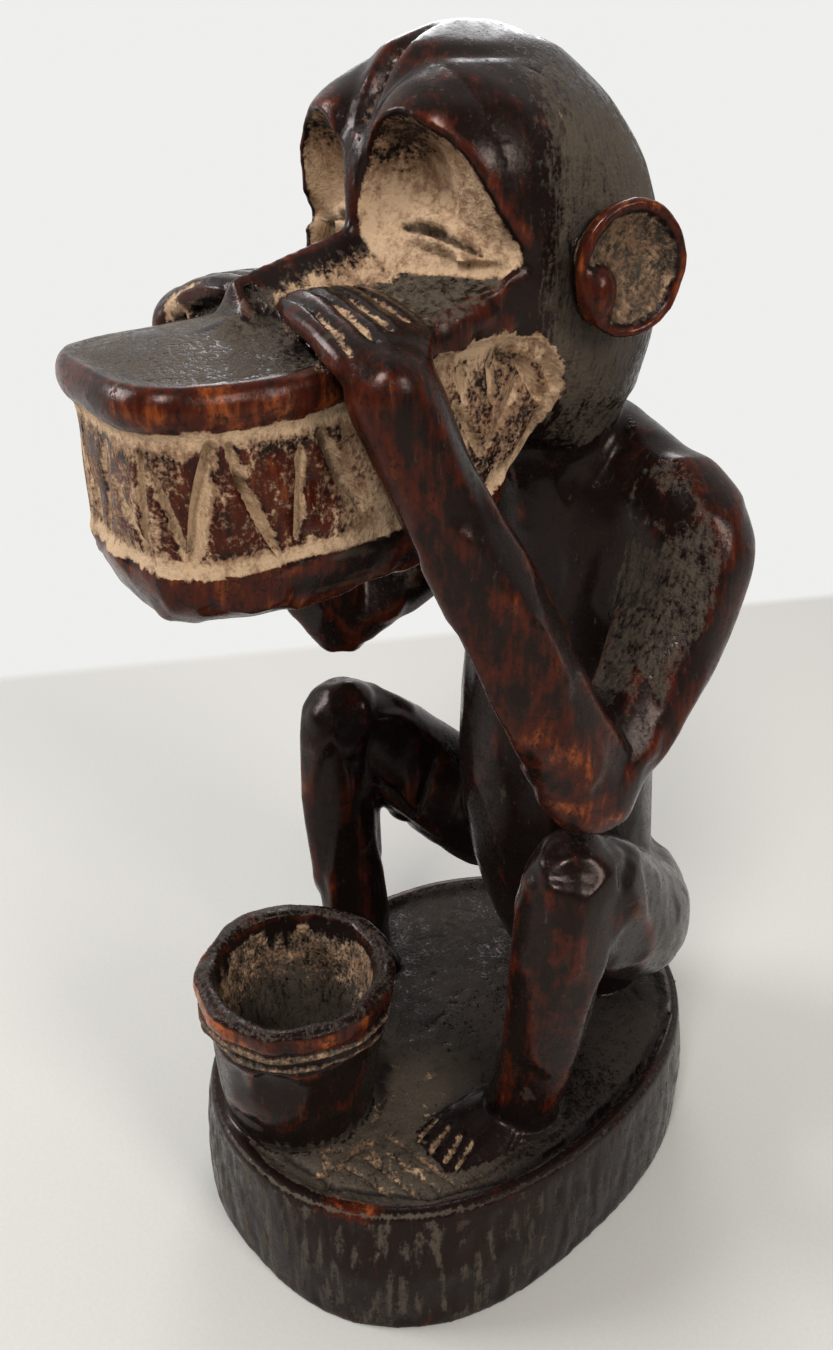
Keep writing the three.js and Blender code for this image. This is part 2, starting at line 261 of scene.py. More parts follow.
def through(stations, t):
    """A point at share t of a smooth curve through the stations, with even pull at close and far ones."""
    spots = [Vector(s) for s in stations]
    spots = [2 * spots[0] - spots[1], *spots, 2 * spots[-1] - spots[-2]]
    place = t * (len(stations) - 1)
    index = min(int(place), len(stations) - 2)
    share = place - index
    p0, p1, p2, p3 = spots[index:index + 4]
    gap = [(b - a).length ** 0.5 for a, b in ((p0, p1), (p1, p2), (p2, p3))]
    gap[1] = gap[1] if gap[1] > 1e-4 else 1
    gap[0] = gap[0] if gap[0] > 1e-4 else gap[1]
    gap[2] = gap[2] if gap[2] > 1e-4 else gap[1]
    leave = ((p1 - p0) / gap[0] - (p2 - p0) / (gap[0] + gap[1]) + (p2 - p1) / gap[1]) * gap[1]
    reach = ((p2 - p1) / gap[1] - (p3 - p1) / (gap[1] + gap[2]) + (p3 - p2) / gap[2]) * gap[1]
    c2 = -3 * p1 + 3 * p2 - 2 * leave - reach
    c3 = 2 * p1 - 2 * p2 + leave + reach
    return p1 + leave * share + c2 * share ** 2 + c3 * share ** 3


def sweep_rings(stations, rows, facing=(0, -1, 0), axis=None, domed=False):
    """Rings along a smooth path. Each station is (x, y, z, half width, half depth, squareness).

    The width lies across both the path and facing. Domed ends bulge past the first and last stations.
    """
    path = [s[:3] for s in stations]
    sizes = [(s[3], s[4], s[5] if len(s) > 5 else 2) for s in stations]
    steps = [(k / rows, 0, 1) for k in range(rows + 1)]
    if domed:
        cap = [(math.sin(a), math.cos(a)) for a in (math.radians(d) for d in range(5, 90, 5))]
        start = [(0, -past, small) for past, small in reversed(cap)]
        end = [(1, past, small) for past, small in cap]
        steps = start + steps + end

    def ring(t, past, small):
        centre, size = through(path, t), through(sizes, t)
        ahead, behind = through(path, min(t + 1e-3, 1)), through(path, max(t - 1e-3, 0))
        tangent = Vector(axis) if axis else (ahead - behind).normalized()
        across = Vector(facing).cross(tangent).normalized()
        deep = across.cross(tangent)
        bulge = tangent * past * min(size.x, size.y)

        def point(turn):
            u, v = squared(turn, size.z)
            return (centre + across * u * size.x * small + deep * v * size.y * small + bulge) * MM

        return point

    return [ring(*step) for step in steps]


def shape(build):
    """A mesh made by a function that fills a bmesh, with its faces outwards."""
    bm = bmesh.new()
    build(bm)
    bmesh.ops.remove_doubles(bm, verts=bm.verts, dist=1e-8)
    bmesh.ops.recalc_face_normals(bm, faces=bm.faces)
    mesh = bpy.data.meshes.new("shape")
    bm.to_mesh(mesh)
    bm.free()
    return mesh


def swept(stations, rows=40, around=64, side=1, **how):
    """A closed form along the stations. They are given for the left side; -1 puts them on the right."""
    stations = [(side * x, *rest) for x, *rest in stations]
    return shape(lambda bm: ring_stack(bm, sweep_rings(stations, rows, **how), around))


def egg(centre, radii, turned=(0, 0, 0)):
    """An ellipsoid, turned by angles in degrees about X, then Y, then Z."""
    turns = [Matrix.Rotation(math.radians(angle), 4, axis) for angle, axis in zip(turned, "XYZ")]
    spin = turns[0] @ turns[1] @ turns[2]
    place = Matrix.Translation(Vector(centre) * MM) @ spin @ Matrix.Diagonal((*(r * MM for r in radii), 1))

    def build(bm):
        bmesh.ops.create_uvsphere(bm, u_segments=72, v_segments=48, radius=1, matrix=place)

    return shape(build)


def block(low, high):
    """A plain box between two corners, for clearing wood away."""
    low, high = Vector(low) * MM, Vector(high) * MM
    place = Matrix.Translation((low + high) / 2) @ Matrix.Diagonal((*(high - low), 1))
    return shape(lambda bm: bmesh.ops.create_cube(bm, size=1, matrix=place))


def hull(points):
    """The tightest skin round some points."""

    def build(bm):
        for point in points:
            bm.verts.new(Vector(point) * MM)
        made = bmesh.ops.convex_hull(bm, input=bm.verts)
        bmesh.ops.delete(bm, geom=made["geom_interior"], context="VERTS")

    return shape(build)


def combined(whole, others, operation):
    """The mesh joined with or cut by the others, one after another."""
    holder = bpy.data.objects.new("whole", whole)
    helpers = []
    for other in others:
        helper = bpy.data.objects.new("other", other)
        helpers.append(helper)
        modifier = holder.modifiers.new("step", "BOOLEAN")
        modifier.operation = operation
        modifier.solver = "MANIFOLD"
        modifier.object = helper
    for thing in (holder, *helpers):
        bpy.context.scene.collection.objects.link(thing)
    made = evaluated_copy(holder, "shape")
    for thing in (holder, *helpers):
        bpy.data.objects.remove(thing)
    for old in (whole, *others):
        bpy.data.meshes.remove(old)
    return made


def sides(make):
    """The left one and the right one."""
    return [make(1), make(-1)]


def muzzle_rise(y):
    """How far the muzzle is lifted at a place along it: level in front, sloping up towards the face."""
    past = y - LIFT_START
    return LIFT_SLOPE * 0.5 * (past + np.hypot(past, LIFT_SOFT))


def muzzle_bend(p):
    """Lifts the muzzle towards the face, widens it into the cheeks and skews its blunt front."""
    rise = float(muzzle_rise(p.y))
    share = float(smoothstep(BAND_LOW, BAND_HIGH, p.z))
    x = p.x * (1 + JOWL * float(smoothstep(-52, -25, p.y)))
    y = p.y - SKEW * x * float(smoothstep(50, 85, -p.y))
    return Vector((x, y, p.z + rise * (CHIN_SHARE + (1 - CHIN_SHARE) * share)))


def base_block(sizes):
    """The oval base with its raised rim round a dished top."""
    w, l, h = (v / MM for v in (sizes.base_width, sizes.base_length, sizes.base_height))
    rim = sizes.base_rim / MM
    t = BASE_TURN
    rings = [
        oval(0, w - 0.5, l - 2, 2.5, (2.5, -2.3), t),
        oval(h / 2, w, l - 1, 2.5, (1.2, -1.2), t),
        oval(h - 3, w, l, 2.2, (0.2, -0.2), t),
        oval(h - 0.8, w, l, 2.15, (0, 0), t),
        oval(h, w - 0.9, l - 0.9, 2.15, (0, 0), t),
        oval(h, w - rim + 0.4, l - rim + 0.4, 2.15, (0, 0), t),
        oval(h - 2.5, w - rim - 2, l - rim - 2, 2.15, (0, 0), t),
    ]
    return shape(lambda bm: ring_stack(bm, rings, 180))


def cup_wall():
    """The cup: a profile of its outside, lip and well, spun round its axis."""
    profile = [(18.5, 31.5), (20.8, 49.5), (21.7, 61.5), (22.4, 63), (23.6, 65), (24.1, 68), (24.5, 71),
               (24.9, 73.5), (24.9, 76.7), (24.2, 77.6), (21, 77.7), (20.2, 77.2), (19, 74.7), (16.8, 61.7),
               (13.6, 53), (10.8, 48.7), (5, 46.2)]
    centre = Vector((*CUP_AXIS, 0)) * MM

    def build(bm):
        points = [(0, 31.5)] + profile + [(0, 45.7)]
        verts = [bm.verts.new(centre + Vector((r, 0, z)) * MM) for r, z in points]
        edges = [bm.edges.new(pair) for pair in zip(verts, verts[1:])]
        bmesh.ops.spin(bm, geom=verts + edges, cent=centre, axis=UPRIGHT, angle=2 * math.pi, steps=120,
                       use_merge=True)

    return shape(build)


def muzzle_layers():
    """The lid with its rounded edge, the toothed band and the lower lip."""

    def ring(z, inset_x, inset_y, squareness=4):
        return oval(z, 26 - inset_x, 42.5 - inset_y, squareness, (0, MUZZLE_Y), 0, muzzle_bend)

    lid = [ring(BAND_HIGH, 1.6, 1.6), ring(222.2, 0.3, 0.3), ring(224.4, -0.4, -0.4), ring(226.6, 0, 0),
           ring(228.4, 0.9, 0.9), ring(229, 1.6, 1.6), ring(228.5, 3, 3), ring(229.5, 7, 7),
           ring(231, 12, 12, 3.4), ring(232.3, 18, 18, 2.6)]
    band = [ring(193, 2, 4), ring(209, 1.5, 3), ring(224, 2, 2.5)]
    lip = [ring(184.5, 7, 9, 3), ring(185.8, 4.6, 6.6, 3.6), ring(187.6, 2.8, 4.8), ring(192, 1, 3),
           ring(195.4, 0.4, 2.4), ring(BAND_LOW, 1, 3)]
    return [shape(lambda bm, rings=rings: ring_stack(bm, rings, 140)) for rings in (lid, band, lip)]


def hood():
    """The skull with its two brow lobes: first whole, then hollowed by the eye recesses and the furrow."""
    skull = swept([(0, 12, 204, 18, 20), (0, 8, 214, 26, 28), (0, 4, 228, 30, 35), (0, 2, 244, 30.5, 35.5),
                   (0, 0, 258, 27.5, 33), (0, -2.5, 269, 22, 26.5), (0, -5, 277.5, 13.5, 18),
                   (0, -6, 281.5, 4, 6)], rows=70, around=120, axis=UPRIGHT)

    def lobe(side):
        slim = 0.7 if side < 0 else 0
        return swept([(14, -5, 226, 12, 16), (13.8, -7, 238, 15.5, 24.5),
                      (12.8, -8.5, 250, 16.5 - slim / 2, 27.5 - slim),
                      (12.3, -9, 259, 16.5 - slim / 2, 27.5 - slim),
                      (11, -8.5, 268, 14, 23.5), (9, -8, 275, 8, 14)],
                     side=side, rows=50, around=90, axis=UPRIGHT)

    def window(side):
        return egg((side * 14, -37, 250), (12, 17, 17.5), (0, 0, side * 10))

    def corner(side):
        tucked = 6 if side < 0 else 0
        return swept([(14, -40, 263, 7, 7), (20.5 - tucked, -33 - tucked, 255.5, 9, 9),
                      (25.5 - tucked, -25 - tucked, 248, 6.5, 6.5),
                      (29.5 - tucked, -15 - tucked, 243, 1.5, 1.5)],
                     side=side, around=48, domed=True)

    furrow = swept([(0, -4, 294, 9, 10), (0, -24, 284, 9, 9), (0, -41, 262, 9, 9)], rows=30, around=4)
    whole = combined(skull, sides(lobe), "UNION")
    whole = combined(whole, [block((-40, -60, 200), (40, -17, 239.4))], "DIFFERENCE")
    mouthward = block((-27.2, -60, 205), (27.2, -17.2, 243.2))
    cutters = [*sides(window), *sides(corner), furrow, mouthward]
    return whole.copy(), combined(whole, cutters, "DIFFERENCE")


def face_parts():
    """What fills the hood: the face behind the recesses, the jaw, the bridge and the roof-shaped nose.

    With them come the eyelids, the thumbs, the slopes under the eyes, the cheeks, and a thin wall that
    closes the far recess.
    """
    face = swept([(0, -10, 228, 27, 24, 1.1), (0, -12, 239, 28.5, 25, 1.1), (0, -9.5, 250, 28, 21.5, 1.1),
                  (0, -5, 264, 24, 18, 1.1)], around=96, axis=UPRIGHT)
    jaw = egg((0, -4, 222), (26.5, 30, 21), (10, 0, 0))
    bridge = swept([(0, -25, 264, 1.6, 7.4), (0, -24, 240, 2.8, 8.4)], rows=20, around=32)
    nose = swept([(0, -24, 236, 12, 14.5, 1.12), (0, -42, 233, 10.5, 12.5, 1.12),
                  (0, -58.5, 230, 9, 10.8, 1.12)], around=96, facing=UPRIGHT, axis=(0, -1, 0))

    def lid(side):
        return egg((side * 14.4, -22, 247.4), (7.2, 4.4, 3.6), (0, side * 22, side * 32))

    def thumb(side):
        return swept([(26.8, -28.8, 229, 2, 2, 4), (26.8, -29.6, 236.2, 2, 2, 4)],
                     side=side, rows=8, around=32)

    def slope(side):
        return hull([(side * x, y, z) for x, y, z in (
            (8, -35.5, 238.8), (25.7, -31.8, 235.6), (28.4, -17.5, 240.2), (28.6, -14, 241.4),
            (20, -20, 241.6), (6, -28, 241.2), (8, -35.5, 226), (25.2, -31.8, 226), (27, -16.3, 229),
            (6, -18, 226))])

    def cheek(side):
        return egg((side * 17.2, -17.5, 216.5), (9.2, 17.5, 15.5))

    outline = ((-23.2, -28), (-26.6, -22.6), (-28.6, -16), (-21, -26.4), (-25.8, -16))
    far_wall = hull([(x - tuck, y + tuck, z) for z, tuck in ((246, 0), (239.5, -0.8)) for x, y in outline])
    pairs = [*sides(lid), *sides(thumb), *sides(slope), *sides(cheek)]
    return [face, jaw, bridge, nose, *pairs, far_wall]


def ear(side):
    """A funnel with a hollow bowl and a small lobe at its front."""
    x, y, z = EAR_CENTRE
    w, h, bowl = 11.4, 12.3, 5.5
    shell = swept([(x - 14, y + 4, z - 1, w - 4.5, h - 4), (x - 5, y + 1.5, z - 0.5, w - 2, h - 1.8),
                   (x - 0.5, y + 0.3, z, w, h), (x + 0.5, y, z, w - 0.4, h - 0.4)],
                  side=side, rows=20, around=90, facing=UPRIGHT)
    hollow = egg((side * (x + 1), y, z), (bowl, w - 2, h - 2), (0, 0, side * -14))
    lobe = egg((side * (x - 3), y - 5.5, z - 4), (3.5, 4, 5.5))
    return [combined(shell, [hollow], "DIFFERENCE"), lobe]


def torso():
    """The trunk, the neck, the yoke between the shoulders and the seat."""
    trunk = swept([(0, 44, 46, 21, 17), (0, 40, 62, 24, 21), (0, 35, 88, 26.5, 24.5),
                   (0, 31.5, 115, 27, 25), (0, 32, 145, 27, 24), (0, 33, 170, 29.5, 22, 2.6),
                   (0, 34, 184, 31.5, 20, 3.4)], rows=60, around=96, domed=True)
    neck = swept([(0, 30, 178, 19, 17), (0, 18, 206, 18, 17), (0, 10, 224, 18, 17)])
    yoke = swept([(-36, 30, 186.5, 13, 11), (0, 31, 196, 14, 12), (36, 30, 186.5, 13, 11)], domed=True)
    seat = swept([(0, 48, 30, 19, 16), (0, 46, 60, 26, 18)], rows=12)
    return [trunk, neck, yoke, seat]


def leg(side):
    """A thigh, a shin and a flat foot; the right leg stands a little wider."""
    out = 2 if side < 0 else 0
    thigh = swept([(19, 47, 69, 15.5, 16.5), (28.5, 37, 73, 15.5, 17), (37, 20, 88, 13, 16),
                   (42.5 + out, 3, 107, 11.5, 13.5), (43.5 + out, -4, 115, 9, 9)],
                  side=side, rows=50, facing=UPRIGHT, domed=True)
    shin = swept([(43.5 + 2 * out, -5, 112, 11.2, 12, 1.9), (43 + 2 * out, -6, 92, 11, 12, 1.7),
                  (39 + 3 * out, -5, 60, 10, 11, 1.7), (34 + 3 * out, -5, 34, 9.2, 10.2, 1.8)],
                 side=side, domed=True)
    foot = swept([(35, -2, 33, 9, 5), (33, -16, 32.2, 10, 4.4), (32, -31.5, 30.9, 9.5, 2.8)],
                 side=side, facing=UPRIGHT, domed=True)
    return [thigh, shin, foot]


def arm(side):
    """An upper arm, a forearm and a flat hand on the muzzle; the right elbow is a little higher."""
    lift, back = (6, 2) if side < 0 else (0, 0)
    elbow = (46, -4, 139 + lift)
    upper = swept([(30, 30, 190, 14, 11, 2.2), (36.5, 30, 184, 14.5, 11, 2.4),
                   (38.5, 27, 174, 14, 10.5, 2.6), (41.5, 16, 156 + lift / 2, 12, 10, 2.4),
                   (*elbow, 9.5, 10)], side=side, rows=50, domed=True)
    fore = swept([(*elbow, 9.8, 11.4, 1.8), (45, -16.5, 160 + lift / 2, 10, 11.2, 1.5),
                  (41.5, -30.5, 188, 9, 10.2, 1.5), (37.2, -43, 212, 7.6, 9.2, 1.5),
                  (34.8, -48.8, 227, 7, 8.8, 1.8)], side=side, rows=50, domed=True)
    hand = swept([(36.4, -50.4 + back, 228.4, 7.2, 3, 2.6), (32.5, -49.2 + back, 231.3, 9, 3.4, 3),
                  (27, -47.4 + back, 233.7, 10.6, 3.3, 3), (16, -46 + back, 236.2, 10.8, 3, 3),
                  (9.5, -45.4 + back, 237.2, 9.4, 2.4, 3)], side=side, facing=UPRIGHT, domed=True)
    return [upper, fore, hand]


def gather(meshes):
    """One mesh that holds all the shapes, overlapping as they do."""
    bm = bmesh.new()
    for mesh in meshes:
        bm.from_mesh(mesh)
        bpy.data.meshes.remove(mesh)
    made = bpy.data.meshes.new("carved_monkey")
    bm.to_mesh(made)
    bm.free()
    return made


def neighbour_sums(mesh):
    """A function that gives the mean of each vertex's neighbours, for one column or several."""
    i, j = links(mesh).T
    count = len(mesh.vertices)
    total = np.bincount(i, minlength=count)

    def mean(values):
        columns = values.reshape(count, -1)
        sums = [np.bincount(i, columns[j, k], count) / total for k in range(columns.shape[1])]
        return np.stack(sums, 1).reshape(values.shape)

    return mean


def soften(mesh, rounds):
    """Rounds the edges that the grid left, and melts the trunk, shoulders and hips into each other."""
    points = read_points(mesh)
    mean = neighbour_sums(mesh)
    y, z = points[:, 1], points[:, 2]
    trunk = smoothstep(36, 46, z) * (1 - smoothstep(176, 190, z)) * smoothstep(6, 14, y)
    shoulder = smoothstep(160, 178, z) * (1 - smoothstep(200, 210, z)) * smoothstep(6, 16, y)
    melting = np.maximum(trunk, shoulder)[:, None]
    for number in range(rounds):
        share = 0.5 if number < 5 else 0.5 * melting
        points = points + share * (mean(points) - points)
    write_points(mesh, points)


# Knife cuts: from, to, width and depth in millimetres, and the side they are cut from. Each list takes
# one finish.
CLAY_CUTS = [
    # teeth on the near side and the front
    ((2, -86, 216.5), (-1.7, -86, 200), 2.2, 1.3, "front"),
    ((5.6, -86, 211.5), (12.5, -86, 199.5), 2.1, 1.4, "front"),
    ((15, -85, 218), (13.2, -85, 199), 1.9, 1.3, "corner"),
    ((16.5, -84, 215), (21, -81, 199), 2.2, 1.5, "corner"),
    ((23, -76, 218.8), (22.6, -79.5, 199.5), 4.2, 1.8, "left"),
    ((24, -73, 219), (24.5, -70.6, 210), 2.4, 1.4, "left"),
    ((24, -71.6, 213), (25, -65.2, 199), 2.8, 1.7, "left"),
    ((25, -60, 216.5), (25, -61.2, 201), 2.7, 1.6, "left"),
    ((25, -56, 218.5), (25, -48.2, 204), 3.6, 1.4, "left"),
    ((-8, -86, 217), (-5.4, -86, 200), 2.4, 1.3, "front"),
    ((-10.5, -86, 213), (-7.5, -86, 200), 2.4, 1.3, "front"),
    # the cheek panel
    ((28, -27.4, 219.5), (28, -20.4, 208.5), 2.6, 1.2, "left"),
    ((28, -19.2, 226), (28, -18.4, 218.5), 2.0, 1.0, "left"),
    ((28, -12, 222), (28, -19.2, 210.6), 3.0, 1.5, "left"),
    ((28, -12, 225.5), (28, -5.6, 217), 3.4, 1.4, "left"),
    ((28, -7.4, 226.2), (28, -3.2, 219.4), 2.2, 1.0, "left"),
    ((28, -26.4, 226.5), (28, -25.2, 219.5), 2.4, 0.9, "left"),
    ((28, -33.4, 225), (28, -26.6, 213.4), 2.6, 1.0, "left"),
]
FINGER_CUTS = [
    ((33, -55.6, 234), (20.5, -54, 237), 2.5, 1.0, "up"),
    ((32.4, -51, 235), (19.2, -49.6, 238), 2.5, 1.0, "up"),
    ((31.4, -46.6, 236), (17.8, -45.4, 239), 2.5, 1.0, "up"),
    ((29.4, -41.8, 236), (16.4, -40.8, 239), 2.5, 1.1, "up"),
]
KNUCKLE_CUTS = [
    ((21.5, -54.1, 237), (6.5, -52.6, 238), 1.5, 0.8, "up"),
    ((20.2, -49.7, 238), (6, -48, 239), 1.5, 0.8, "up"),
    ((18.8, -45.5, 239), (6, -43.4, 240), 1.5, 0.8, "up"),
    ((17.4, -40.9, 239), (6.5, -39, 240), 1.4, 0.8, "up"),
]
TOE_CUTS = [
    ((24.4, -25.7, 35), (26.6, -34, 34), 2.4, 1.3, "up"),
    ((28.9, -25.4, 35), (31.4, -33.8, 34), 3, 1.5, "up"),
    ((32.9, -24.5, 35), (36, -32.4, 34), 3, 1.5, "up"),
    ((36.7, -24.2, 35), (39.3, -31.8, 34), 2.3, 1.3, "up"),
]
EYE_CUTS = [
    ((9.4, -27.6, 248.6), (15.4, -22.8, 246.7), 3.2, 2.0, "brow"),
    ((12, -25.6, 247.7), (20.4, -18.6, 243.4), 2.0, 1.8, "brow"),
]
CREASES = [
    ((8.6, -28.5, 250.8), (15.2, -24.8, 251.6), 1.7, 0.9, "brow"),
    ((15, -24.9, 251.6), (21.6, -18.4, 246.6), 1.7, 0.9, "brow"),
    ((10.4, -27, 245), (18.8, -20.2, 241.8), 1.6, 0.8, "brow"),
    ((7, -30, 256), (16, -25.4, 257), 1.4, 0.5, "brow"),
    ((6.6, -30, 260.5), (13.6, -27, 261.5), 1.2, 0.5, "brow"),
    # nostril
    ((2.4, -55.8, 238.6), (6.4, -55, 234.4), 4.4, 2, "left"),
]
SCRATCHES = [
    ((10.8, -21.8, 275), (20.6, -21.5, 269.4), 0.9, 0.35, "crown"),
    ((20.6, -21.5, 269.4), (27.6, -19.5, 259.5), 0.8, 0.3, "crown"),
    ((22, -4.5, 273), (29, -8, 262), 0.8, 0.3, "crown"),
    ((17.5, -9, 275), (22.5, -3, 272.4), 0.8, 0.3, "crown"),
]
CROOK_CUTS = [
    ((-36, -1, 97), (-31, 9, 83.5), 4, 1.8, "crook"),
    ((-28.6, 12.8, 101), (-30, 9, 85), 3.4, 1.6, "crook"),
]
FAN_CUTS = [
    # the whittled patch between the cup, the near foot and the front rim
    ((18.3, -43.1, 33), (21.6, -57.9, 33), 2.2, 0.8, "up"),
    ((20.6, -36.8, 33), (19.6, -56, 33), 1.8, 0.7, "up"),
    ((26.7, -37.2, 33), (42.6, -34, 33), 2.4, 0.9, "up"),
    ((24.5, -42, 33), (41.5, -38.4, 33), 2, 0.7, "up"),
    ((22.5, -47, 33), (40, -43.6, 33), 2.2, 0.8, "up"),
    ((21.8, -52.4, 33), (36.5, -48.6, 33), 2, 0.8, "up"),
    ((10.5, -60.1, 33), (17.5, -50.8, 33), 2.4, 0.7, "up"),
    ((43.8, -32.7, 33), (44.1, -17.4, 33), 2.2, 1, "up"),
    ((46.8, -31, 33), (48, -14.9, 33), 1.8, 1, "up"),
]
TRENCH_CUTS = [
    ((36, 49, 33), (46.4, 24, 33), 3.6, 1.6, "up"),
    ((43.6, 33, 33), (49.2, 6, 33), 3.8, 2, "up"),
    ((48, 15, 33), (49.8, -11, 33), 3.8, 2.2, "up"),
    ((49.6, -3, 33), (48.6, -27, 33), 3, 1.6, "up"),
    ((49.4, -20, 33), (42, -43, 33), 1.8, 1, "up"),
    ((43, -41, 33), (24, -60, 33), 1.6, 0.9, "up"),
    ((27, -58, 33), (-4, -67.6, 33), 1.6, 0.8, "up"),
]


def loose_cuts():
    """Short knife strokes scattered over the top of the base, closer together towards the front."""
    rng = np.random.RandomState(RNG_SEED + 12)
    cuts = []
    while len(cuts) < 70:
        x, y = rng.uniform(-46, 46), rng.uniform(-62, 60)
        if (x / 48) ** 2 + (y / 64) ** 2 > 1 or rng.rand() < (y + 62) / 180:
            continue
        turn = math.atan2(y, x) + math.pi / 2 + rng.normal(0, 0.6)
        reach = Vector((math.cos(turn), math.sin(turn), 0)) * rng.uniform(2, 6)
        middle = Vector((x, y, 33))
        ends = tuple(middle - reach), tuple(middle + reach)
        cuts.append((*ends, rng.uniform(1.6, 3), rng.uniform(0.25, 0.7), "up"))
    return cuts


# The sides that cuts are made from, as directions, and the names of those that have a mirrored one.
LOOKS = {"up": (0, 0, 1), "front": (0, -1, 0), "left": (1, 0, 0), "corner": (0.75, -0.66, 0),
         "brow": (0.5, -0.75, 0.43), "crown": (0.5, -0.3, 0.81), "crook": (0.55, -0.75, -0.35)}
SIDES = {look: "far_" + look for look in LOOKS if look not in ("up", "front")}
LOOKS.update({SIDES[look]: (-LOOKS[look][0], *LOOKS[look][1:]) for look in SIDES})


def mirrored(cuts):
    """The cuts and the same on the far side, a little uneven."""
    flipped = []
    for number, (start, end, width, depth, look) in enumerate(cuts):
        slip = 0.5 * math.sin(7.3 * number)
        far_start, far_end = (-start[0], start[1] + slip, start[2]), (-end[0], end[1] - slip, end[2])
        flipped.append((far_start, far_end, width, depth, SIDES.get(look, look)))
    return cuts + flipped


# The near side's teeth and cheek are gone over twice, so they lie deeper than the far side's.
CLAY_CUTS = CLAY_CUTS + mirrored([cut for cut in CLAY_CUTS if cut[4] != "front"])
FINGER_CUTS, KNUCKLE_CUTS, TOE_CUTS = mirrored(FINGER_CUTS), mirrored(KNUCKLE_CUTS), mirrored(TOE_CUTS)
EYE_CUTS, CREASES = mirrored(EYE_CUTS), mirrored(CREASES)
LOOSE_CUTS = loose_cuts()
BASE_CUTS = FAN_CUTS + TRENCH_CUTS + LOOSE_CUTS
BODY_CUTS = CLAY_CUTS + FINGER_CUTS + KNUCKLE_CUTS + TOE_CUTS + EYE_CUTS + CREASES + SCRATCHES + CROOK_CUTS
# The cheek panel's outline, as (y, z) in the side view.
CHEEK = [(-34, 228.6), (-26, 229.6), (-19, 230.4), (-11, 229.6), (-6.6, 227), (-3.4, 222), (-2.8, 216),
         (-4.6, 209.6), (-10, 204.6), (-20, 199.6), (-27, 208), (-31.5, 217.5), (-34, 224)]


def cut_weight(points, cut):
    """How deep each point lies in a leaf-shaped V cut, from 0 at its edge to 1 in its middle."""
    start, end, width, _, look = cut
    start, end = np.array(start, float), np.array(end, float)
    look = np.array(LOOKS[look], float)
    look /= np.linalg.norm(look)
    length = np.linalg.norm(end - start)
    along = (end - start) / length
    side = np.cross(along, look)
    side /= np.linalg.norm(side)
    near = np.where(np.all(np.abs(points - (start + end) / 2) < length / 2 + width + 6, axis=1))[0]
    reach = points[near] - start
    t = np.clip(reach @ along / length, 0, 1)
    off = reach - t[:, None] * (end - start)
    lateral = np.hypot(off @ side, off @ along)
    half = width / 2 * (0.35 + 0.65 * np.sin(np.pi * (0.06 + 0.88 * t)) ** 0.7)
    weight = np.clip(1 - lateral / half, 0, 1) * (np.abs(off @ look) < 6)
    return near, weight, look


def cut_strokes(points, normals, cuts):
    """Pushes the surface in along each cut."""
    moved = points.copy()
    for cut in cuts:
        near, weight, look = cut_weight(points, cut)
        facing = normals[near] @ look > 0.1
        moved[near] -= (weight * facing * cut[3])[:, None] * look
    return moved


def stroke_mask(points, cuts):
    """The deepest weight of any of the cuts at each point."""
    mask = np.zeros(len(points))
    for cut in cuts:
        near, weight, _ = cut_weight(points, cut)
        mask[near] = np.maximum(mask[near], weight)
    return mask


def cheek_distance(points):
    """Distance to the cheek panel's outline in the side view, negative inside it."""
    y, z = points[:, 1], points[:, 2]
    inside = np.zeros(len(points), bool)
    nearest = np.full(len(points), 1e9)
    for (ya, za), (yb, zb) in zip(CHEEK, CHEEK[1:] + CHEEK[:1]):
        t = np.clip(((y - ya) * (yb - ya) + (z - za) * (zb - za)) / ((yb - ya) ** 2 + (zb - za) ** 2), 0, 1)
        nearest = np.minimum(nearest, np.hypot(y - ya - t * (yb - ya), z - za - t * (zb - za)))
        crosses = ((za > z) != (zb > z)) & (y < (yb - ya) * (z - za) / (zb - za + 1e-9) + ya)
        inside ^= crosses
    return np.where(inside, -nearest, nearest)


def cup_place(points):
    """Distance from the cup's axis, and the angle round it."""
    x, y = points[:, 0] - CUP_AXIS[0], points[:, 1] - CUP_AXIS[1]
    return np.hypot(x, y), np.arctan2(y, x)


def panel_cuts(points, normals):
    """Sets the cheek panels back a little and turns the rings into the cup's wall."""
    moved = points.copy()
    outline = cheek_distance(points)
    cheek = (np.abs(points[:, 0]) > 15) & (np.abs(points[:, 0]) < 33) & (np.abs(normals[:, 0]) > 0.3)
    moved -= normals * (cheek * smoothstep(0.5, -0.7, outline))[:, None]
    radius, angle = cup_place(points)
    for number, level in enumerate(CUP_GROOVES):
        wobble = 0.3 * np.sin(2 * angle + number) + 0.15 * np.sin(5 * angle + 2 * number)
        depth = 1.3 * np.clip(1 - np.abs(points[:, 2] - level - wobble) / 0.95, 0, 1)
        depth *= (radius > 20) & (radius < 26)
        moved -= normals * depth[:, None]
    return moved


